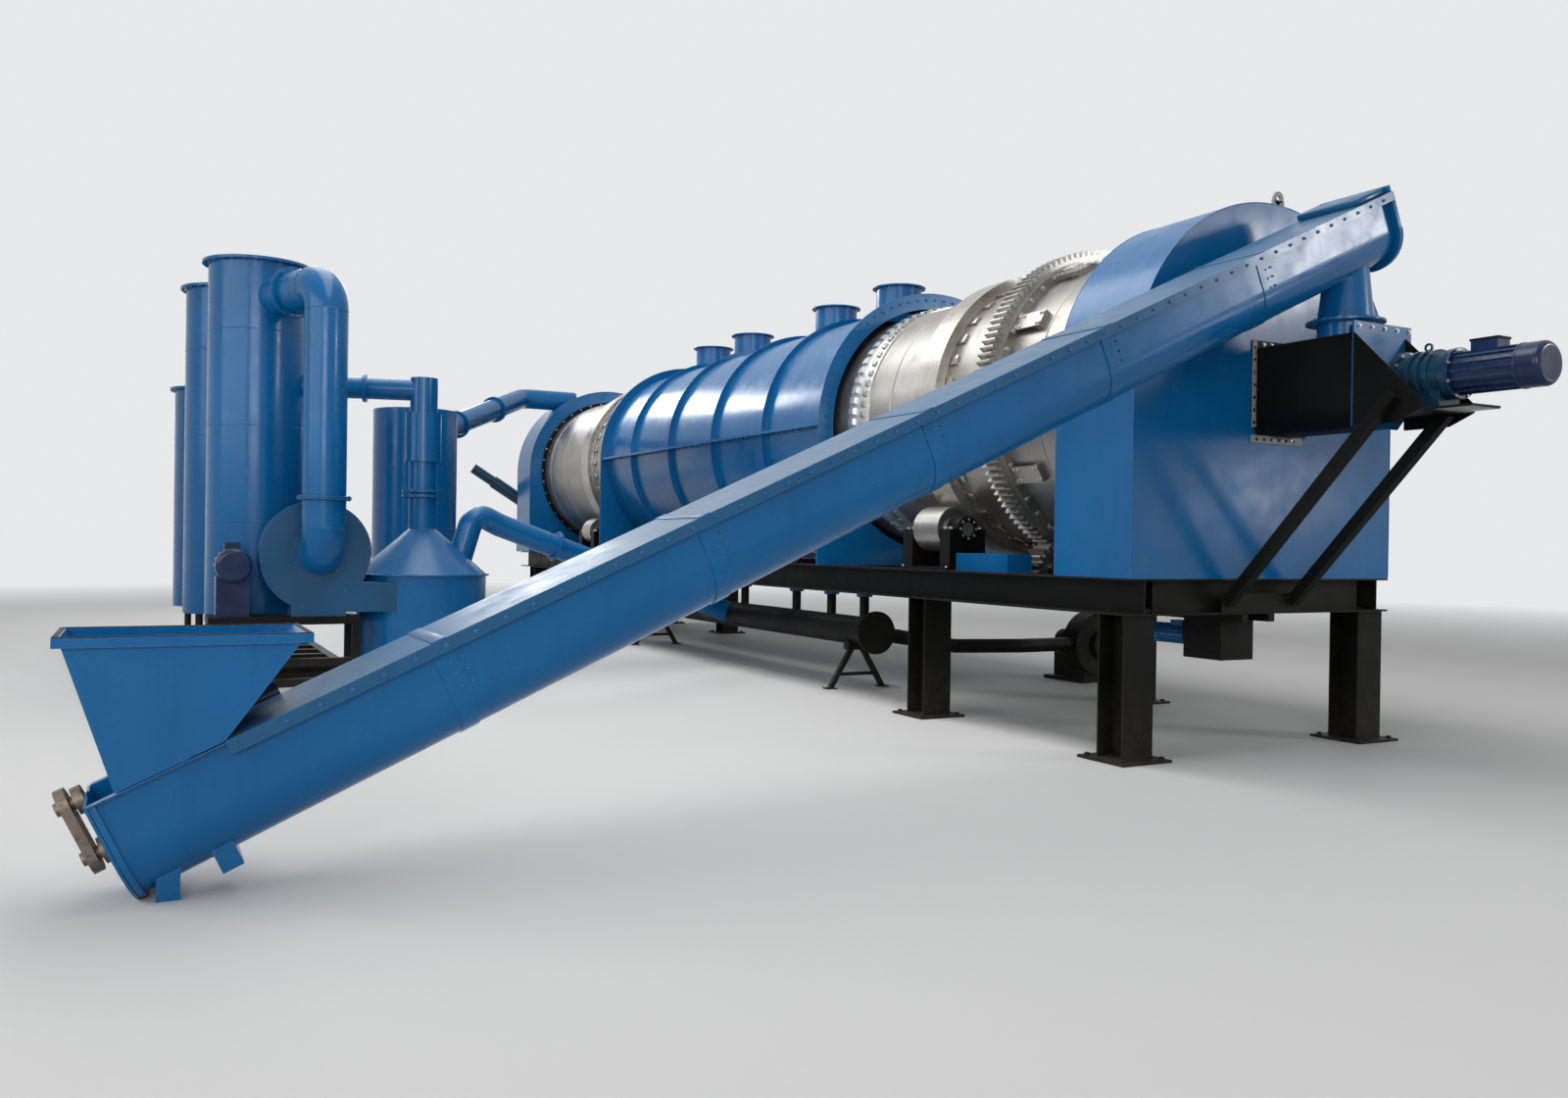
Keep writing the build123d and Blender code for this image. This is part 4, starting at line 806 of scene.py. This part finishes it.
joints = []
for joint in conveyor["joints"]:
    strip = slab("strip", (-0.283, -0.032, 0), (0.283, 0.032, 0.005), 0.0015)
    joints.append(settle(strip, onConveyor(joint + 45, 6), liftWay))
cap = slab("cap", (-0.250, -0.150, 0), (0.250, 0.150, 0.050), 0.022)
joints.append(settle(cap, onConveyor(176, 6), liftWay))
dress(join("coverStrips", joints), coverGreyShadeEnamel)

hopper = {"sides": (353.0, 947.0), "ends": (-7710.0, -6763.0), "top": 1096.0, "band": 19.0}
# black strips on the hopper rim: painted shade for the dark inside of the hopper
rimStrips = []
(x0, x1), (y0, y1), z, wide = hopper["sides"], hopper["ends"], hopper["top"], hopper["band"]
for low, high in (((x0 + 1, y0 + 1), (x0 + wide, y1 - 1)), ((x1 - wide, y0 + 1), (x1 - 1, y1 - 1)),
                  ((x0 + wide, y0 + 1), (x1 - wide, y0 + wide)), ((x0 + wide, y1 - wide),
                          (x1 - wide, y1 - 1))):
    rimStrips.append(slab("rimStrip", at(low[0], low[1], z), at(high[0], high[1], z + 4), 0.001))
dress(join("hopperRimShadeBand", rimStrips), blackEnamel)
print("conveyor ends dressed")


# Roller stands
stands = {
    "tyres": (-2600.0, -11950.0), "roller": (1060.9, 1649.1), "reach": 360.0, "cap": 0.098,
    "bolt": 0.082, "shoulder": 150.0, "sole": 1314.0}
shoulderBolts = []
soleBolts = []
caps = []
capBolts = []
for tyre in stands["tyres"]:
    for side in (-1, 1):
        y = side * stands["roller"][0]
        z = stands["roller"][1]
        for end in (-1, 1):
            for reach in (250.0, 325.0):
                for across in (-1, 1):
                    shoulderBolts.append((at(tyre + end * reach, y + across * stands["shoulder"], z),
                                          (0, 0, 1), 0.3 * across))
            for across in (-1, 1):
                soleBolts.append((at(tyre + end * 335, y + across * 204, stands["sole"]), (0, 0, 1),
                                  0.1))
            face = tyre + end * (stands["reach"] + 7)
            ring = ringPlate("cap", stands["cap"], 0.067, 0.014, 40)
            caps.append(settle(ring, at(face, y, z), (1, 0, 0)))
            capBolts += around(at(tyre + end * (stands["reach"] + 14), y, z), (1, 0, 0), stands["bolt"],
                               8, (end, 0, 0))
copies(bolt24, "standShoulderBolts", shoulderBolts, boltSteel)
copies(bolt16, "standSoleBolts", soleBolts, boltSteel)
dress(join("standCaps", caps), blackEnamel, bevel=0.002)
copies(bolt12, "standCapBolts", capBolts, boltSteel)
print("stands dressed")


# Heating jacket welds
ribs = {"places": (-5620.0, -6975.0, -8330.0, -9685.0), "thick": 7.0, "radius": 1.3315, "bead": 0.0045}
beads = []
for x in ribs["places"]:
    for side in (-1, 1):
        place = at(x + side * (ribs["thick"] + 2), 0, kiln["z"])
        beads.append(weldRing("bead", place, (1, 0, 0), ribs["radius"], ribs["bead"], 128))
dress(join("jacketRibWelds", beads), blueEnamel)
print("jacket welds made")


# Towers, duct, fan and tank
gas = {
    "towers": ((-7680.0, -6350.0, 4350.0), (-9350.0, -6510.0, 4350.0), (-10970.0, -6580.0, 3350.0)),
    "radius": 0.480, "rim": 0.514, "rimUnder": 14.0, "seams": (1640.0, 2640.0, 3630.0),
    "legReach": 430.0, "rear": (-11600.0, -3950.0), "rearRadius": 0.580,
    "rearSeams": (820.0, 1640.0, 2480.0), "proud": 0.0005, "bead": 0.0042}
towerSeams = []
lidBolts = []
legPads = []
for x, y, top in gas["towers"]:
    for z in gas["seams"]:
        if z < top - 200:
            towerSeams.append(weldRing("seam", at(x, y, z), (0, 0, 1), gas["radius"] + gas["proud"],
                                       gas["bead"]))
    lidBolts += around(at(x, y, top - gas["rimUnder"]), (0, 0, 1), gas["rim"], 28, (0, 0, -1))
    for index in range(4):
        turn = math.radians(45 + 90 * index)
        legPads.append((at(x + gas["legReach"] * math.cos(turn), y + gas["legReach"] * math.sin(turn),
                           160), (0, 0, 1), turn))
x, y = gas["rear"]
for z in gas["rearSeams"]:
    towerSeams.append(weldRing("seam", at(x, y, z), (0, 0, 1), gas["rearRadius"] + gas["proud"],
                               gas["bead"]))
dress(join("towerSeams", towerSeams), blueEnamel)
copies(bolt16, "lidBolts", lidBolts, blueEnamel)
footPad = slab("footPad", (-0.055, -0.055, 0), (0.055, 0.055, 0.014), 0.003)
copies(footPad, "legPads", legPads, blueEnamel)
remove(footPad)


def flangePair(centre, axis, outer, inner, count, gap=0.004, thick=0.014):
    # two bolted rings on a pipe
    rings = []
    way = Vector(axis).normalized()
    for side in (-1, 1):
        ring = ringPlate("flange", outer, inner, thick, 48)
        rings.append(settle(ring, centre + way * side * (thick + gap) / 2, way))
    face = (thick * 2 + gap) / 2
    bolts = around(centre + way * face, way, (outer + inner) / 2 + 0.004, count, tuple(way))
    bolts += around(centre - way * face, way, (outer + inner) / 2 + 0.004, count, tuple(-way))
    return rings, bolts


pipework = {
    "ductX": -6330.0, "fan": (-6620.0, -5830.0, 1330.0), "ductFlange": 1880.0, "ductRadius": 0.206,
    "ductTop": 3980.0, "bend": 255.0, "topFlange": 650.0, "tank": (-7200.0, -4710.0)}
rings, ringBolts = [], []
fanX, fanY, fanZ = pipework["fan"]
towerX, towerY = gas["towers"][0][:2]
ductAt = at(pipework["ductX"], fanY, pipework["ductFlange"])
made, bolts = flangePair(ductAt, (0, 0, 1), pipework["ductRadius"] + 0.050,
                         pipework["ductRadius"] - 0.001, 16)
rings += made
ringBolts += bolts
corner = at(pipework["ductX"], fanY, pipework["ductTop"])
level = (at(towerX, towerY, pipework["ductTop"]) - corner).normalized()
made, bolts = flangePair(corner + level * pipework["topFlange"] / 1000, tuple(level),
                         pipework["ductRadius"] + 0.050,
                         pipework["ductRadius"] - 0.001, 16)
rings += made
ringBolts += bolts
gasStart, gasEnd = at(-14800, -1520, 3990), at(-11600, -3950, 2900)
for share in (0.30, 0.66):
    made, bolts = flangePair(gasStart.lerp(gasEnd, share), tuple(gasEnd - gasStart), 0.215, 0.169, 12)
    rings += made
    ringBolts += bolts
fuelStart, fuelEnd = at(-7260, -3850, 1660), at(-7620, -760, 600)
for share in (0.22, 0.62):
    made, bolts = flangePair(fuelStart.lerp(fuelEnd, share), tuple(fuelEnd - fuelStart), 0.172, 0.129,
                             10)
    rings += made
    ringBolts += bolts
dress(join("pipeFlanges", rings), blueEnamel, bevel=0.0025)

ductSeams = []
for place, way in ((at(pipework["ductX"], fanY, fanZ + pipework["bend"]), (0, 0, 1)),
                   (at(pipework["ductX"], fanY, pipework["ductTop"] - pipework["bend"]), (0, 0, 1)),
                   (corner + level * pipework["bend"] / 1000, tuple(level))):
    ductSeams.append(weldRing("seam", place, way, pipework["ductRadius"] + gas["proud"], gas["bead"],
                              64))
dress(join("ductSeams", ductSeams), blueEnamel)

for index in range(22):
    turn = math.radians(-90 - 360 * index / 22)
    reach = 590 - 120 * index / 22 - 28
    ringBolts.append((at(fanX, fanY + reach * math.cos(turn), fanZ + reach * math.sin(turn)), (1, 0, 0),
                      0.0))
ringBolts += around(at(fanX + 20, fanY, fanZ), (1, 0, 0), 0.238, 16, (1, 0, 0))
tankX, tankY = pipework["tank"]
ringBolts += around(at(tankX, tankY, 2025), (0, 0, 1), 0.186, 12, (0, 0, 1))
ringBolts += around(at(tankX, tankY, 1945), (0, 0, 1), 0.186, 12, (0, 0, -1))
tankRim = ringPlate("tankRim", 0.712, 0.679, 0.018, 72)
settle(tankRim, at(tankX, tankY, 1110))
dress(tankRim, blueEnamel, bevel=0.003)
copies(bolt12, "pipeworkBolts", ringBolts, blueEnamel)
print("gas group dressed")


# Burner pipes, blower and kiln drive
burner = {
    "y": -760.0, "z": 600.0, "ends": (-4170.0, -10530.0), "boltRing": 0.190,
    "risers": (-4420.0, -5100.0, -5900.0, -7250.0, -7900.0, -8600.0, -9300.0), "riserFlange": 980.0,
    "riserRadius": 0.050}
endBolts = around(at(burner["ends"][0], burner["y"], burner["z"]), (1, 0, 0), burner["boltRing"], 12,
                  (1, 0, 0))
endBolts += around(at(burner["ends"][1], burner["y"], burner["z"]), (1, 0, 0), burner["boltRing"], 12,
                   (-1, 0, 0))
riserRings = []
for x in burner["risers"]:
    made, bolts = flangePair(at(x, burner["y"], burner["riserFlange"]), (0, 0, 1),
                             burner["riserRadius"] + 0.034,
                             burner["riserRadius"] - 0.001, 6)
    riserRings += made
    endBolts += bolts
dress(join("riserFlanges", riserRings), blueEnamel, bevel=0.0015)
fanFace = {
    "centre": (-3970.0, 2070.0, 430.0), "ring": 0.332, "guard": (0.030, 0.055, 0.080, 0.105),
    "inlet": -3914.0}
endBolts += around(at(*fanFace["centre"]), (1, 0, 0), fanFace["ring"], 18, (1, 0, 0))
hoops = []
for radius in fanFace["guard"]:
    hoop = ringPlate("hoop", radius + 0.003, radius - 0.003, 0.004, 36)
    hoops.append(settle(hoop, at(fanFace["inlet"], *fanFace["centre"][1:]), (1, 0, 0)))
for turn in (0.0, math.pi / 2):
    bar = slab("bar", (-0.110, -0.003, -0.002), (0.110, 0.003, 0.002), 0.001)
    hoops.append(settle(bar, at(fanFace["inlet"], *fanFace["centre"][1:]), (1, 0, 0), turn))
dress(join("blowerGuard", hoops), blackEnamel)
drive = {"near": -260.0, "x": (-490.0, -180.0), "z": (720.0, 940.0)}
for x in drive["x"]:
    for z in drive["z"]:
        endBolts.append((at(x, drive["near"], z), (0, -1, 0), 0.2))
copies(bolt12, "burnerBolts", endBolts, blackEnamel)
print("burners and drive dressed")


# Floor, light and camera

stageLook = {
    "floor": (0.62, 0.62, 0.61), "sky": (0.80, 0.81, 0.82), "skyLight": 0.20, "fade": (11.0, 30.0)}
deselect()
bpy.ops.mesh.primitive_plane_add(size=240, location=(-6, 0, -0.001))
ground = named("ground")
bpy.ops.object.transform_apply(location=True, rotation=True, scale=True)
floorMaterial, floorTree, floorShader = newMaterial("paleFloor")
floorTint = blendColour(floorTree, noise(floorTree, objectPoint(floorTree), 0.6, 5.0),
                        stageLook["floor"],
                        tuple(0.97 * value for value in stageLook["floor"]))
floorTree.links.new(floorTint, floorShader.inputs["Base Color"])
floorShader.inputs["Roughness"].default_value = 0.7
# the floor fades into the pale background far from the plant
away = floorTree.nodes.new("ShaderNodeVectorMath")
away.operation = "LENGTH"
floorTree.links.new(objectPoint(floorTree, shift=(6, 0, 0)), away.inputs[0])
fade = spreadRange(floorTree, away.outputs["Value"], stageLook["fade"][0], stageLook["fade"][1], 0.0,
                   1.0)
fade = calc(floorTree, "MULTIPLY", fade, seenRay(floorTree))
distance = floorTree.nodes.new("ShaderNodeEmission")
distance.inputs[0].default_value = stageLook["sky"] + (1.0,)
floorMix = floorTree.nodes.new("ShaderNodeMixShader")
floorTree.links.new(fade, floorMix.inputs[0])
floorTree.links.new(floorShader.outputs[0], floorMix.inputs[1])
floorTree.links.new(distance.outputs[0], floorMix.inputs[2])
floorEnd = next(node for node in floorTree.nodes if node.type == "OUTPUT_MATERIAL")
floorTree.links.new(floorMix.outputs[0], floorEnd.inputs[0])
ground.data.materials.append(floorMaterial)

world = bpy.data.worlds.new("studio")
bpy.context.scene.world = world
world.use_nodes = True
worldTree = world.node_tree
worldTree.nodes.clear()
plain = worldTree.nodes.new("ShaderNodeBackground")
plain.inputs[0].default_value = stageLook["sky"] + (1.0,)
plain.inputs[1].default_value = stageLook["skyLight"]
backdrop = worldTree.nodes.new("ShaderNodeBackground")
backdrop.inputs[0].default_value = stageLook["sky"] + (1.0,)
backdrop.inputs[1].default_value = 1.0
either = worldTree.nodes.new("ShaderNodeMixShader")
worldTree.links.new(seenRay(worldTree), either.inputs[0])
worldTree.links.new(plain.outputs[0], either.inputs[1])
worldTree.links.new(backdrop.outputs[0], either.inputs[2])
worldTree.links.new(either.outputs[0], worldTree.nodes.new("ShaderNodeOutputWorld").inputs[0])

lamps = {
    "farWindow": {"place": (-21.0, -3.0, 8.5), "aim": (-5.0, 1.0, 2.6), "size": (7.0, 1.6), "power": 560},
    "overhead": {"place": (-6.0, -3.0, 11.0), "aim": (-6.0, 0.5, 1.5), "size": (20.0, 5.0), "power": 1300},
    "frontWindow": {"place": (8.9, 11.2, 6.4), "aim": (1.0, 1.0, 3.6), "size": (2.6, 1.4), "power": 300},
    "lowWindow": {"place": (8.9, 11.2, 2.5), "aim": (0.2, 1.0, 1.9), "size": (2.2, 1.2), "power": 45},
    "sideFill": {"place": (15.0, -9.0, 6.0), "aim": (0.8, -2.5, 2.2), "size": (8.0, 5.0), "power": 900},
    "nearFill": {"place": (0.0, -15.0, 6.0), "aim": (-4.0, 0.0, 2.0), "size": (16.0, 6.0), "power": 800}}
for name, lamp in lamps.items():
    light = bpy.data.lights.new(name, "AREA")
    light.shape = "RECTANGLE"
    light.size, light.size_y = lamp["size"]
    light.energy = lamp["power"]
    holder = bpy.data.objects.new(name, light)
    bpy.context.collection.objects.link(holder)
    way = Vector(lamp["aim"]) - Vector(lamp["place"])
    holder.matrix_world = Matrix.Translation(lamp["place"]) @ way.to_track_quat("-Z",
            "Y").to_matrix().to_4x4()

view = {"place": (6.4869, -6.1754, 1.5), "lens": 27.89, "yaw": 62.185, "pitch": -0.259, "roll": 0.829}
camera = bpy.data.cameras.new("view")
camera.lens = view["lens"]
camera.sensor_width = 36
camera.clip_end = 400
eye = bpy.data.objects.new("view", camera)
bpy.context.collection.objects.link(eye)
yaw, pitch, roll = (math.radians(view[key]) for key in ("yaw", "pitch", "roll"))
ahead = Vector((-math.sin(yaw) * math.cos(pitch), math.cos(yaw) * math.cos(pitch), math.sin(pitch)))
right = Vector((math.cos(yaw), math.sin(yaw), 0))
upward = right.cross(ahead)
tiltRight = right * math.cos(roll) + upward * math.sin(roll)
tiltUp = upward * math.cos(roll) - right * math.sin(roll)
turned = Matrix((tiltRight, tiltUp, -ahead)).transposed().to_4x4()
eye.matrix_world = Matrix.Translation(view["place"]) @ turned
bpy.context.scene.camera = eye
bpy.context.scene.view_settings.view_transform = "Standard"
print("stage set")

remove(bolt24, bolt16, bolt12, rivetHead)
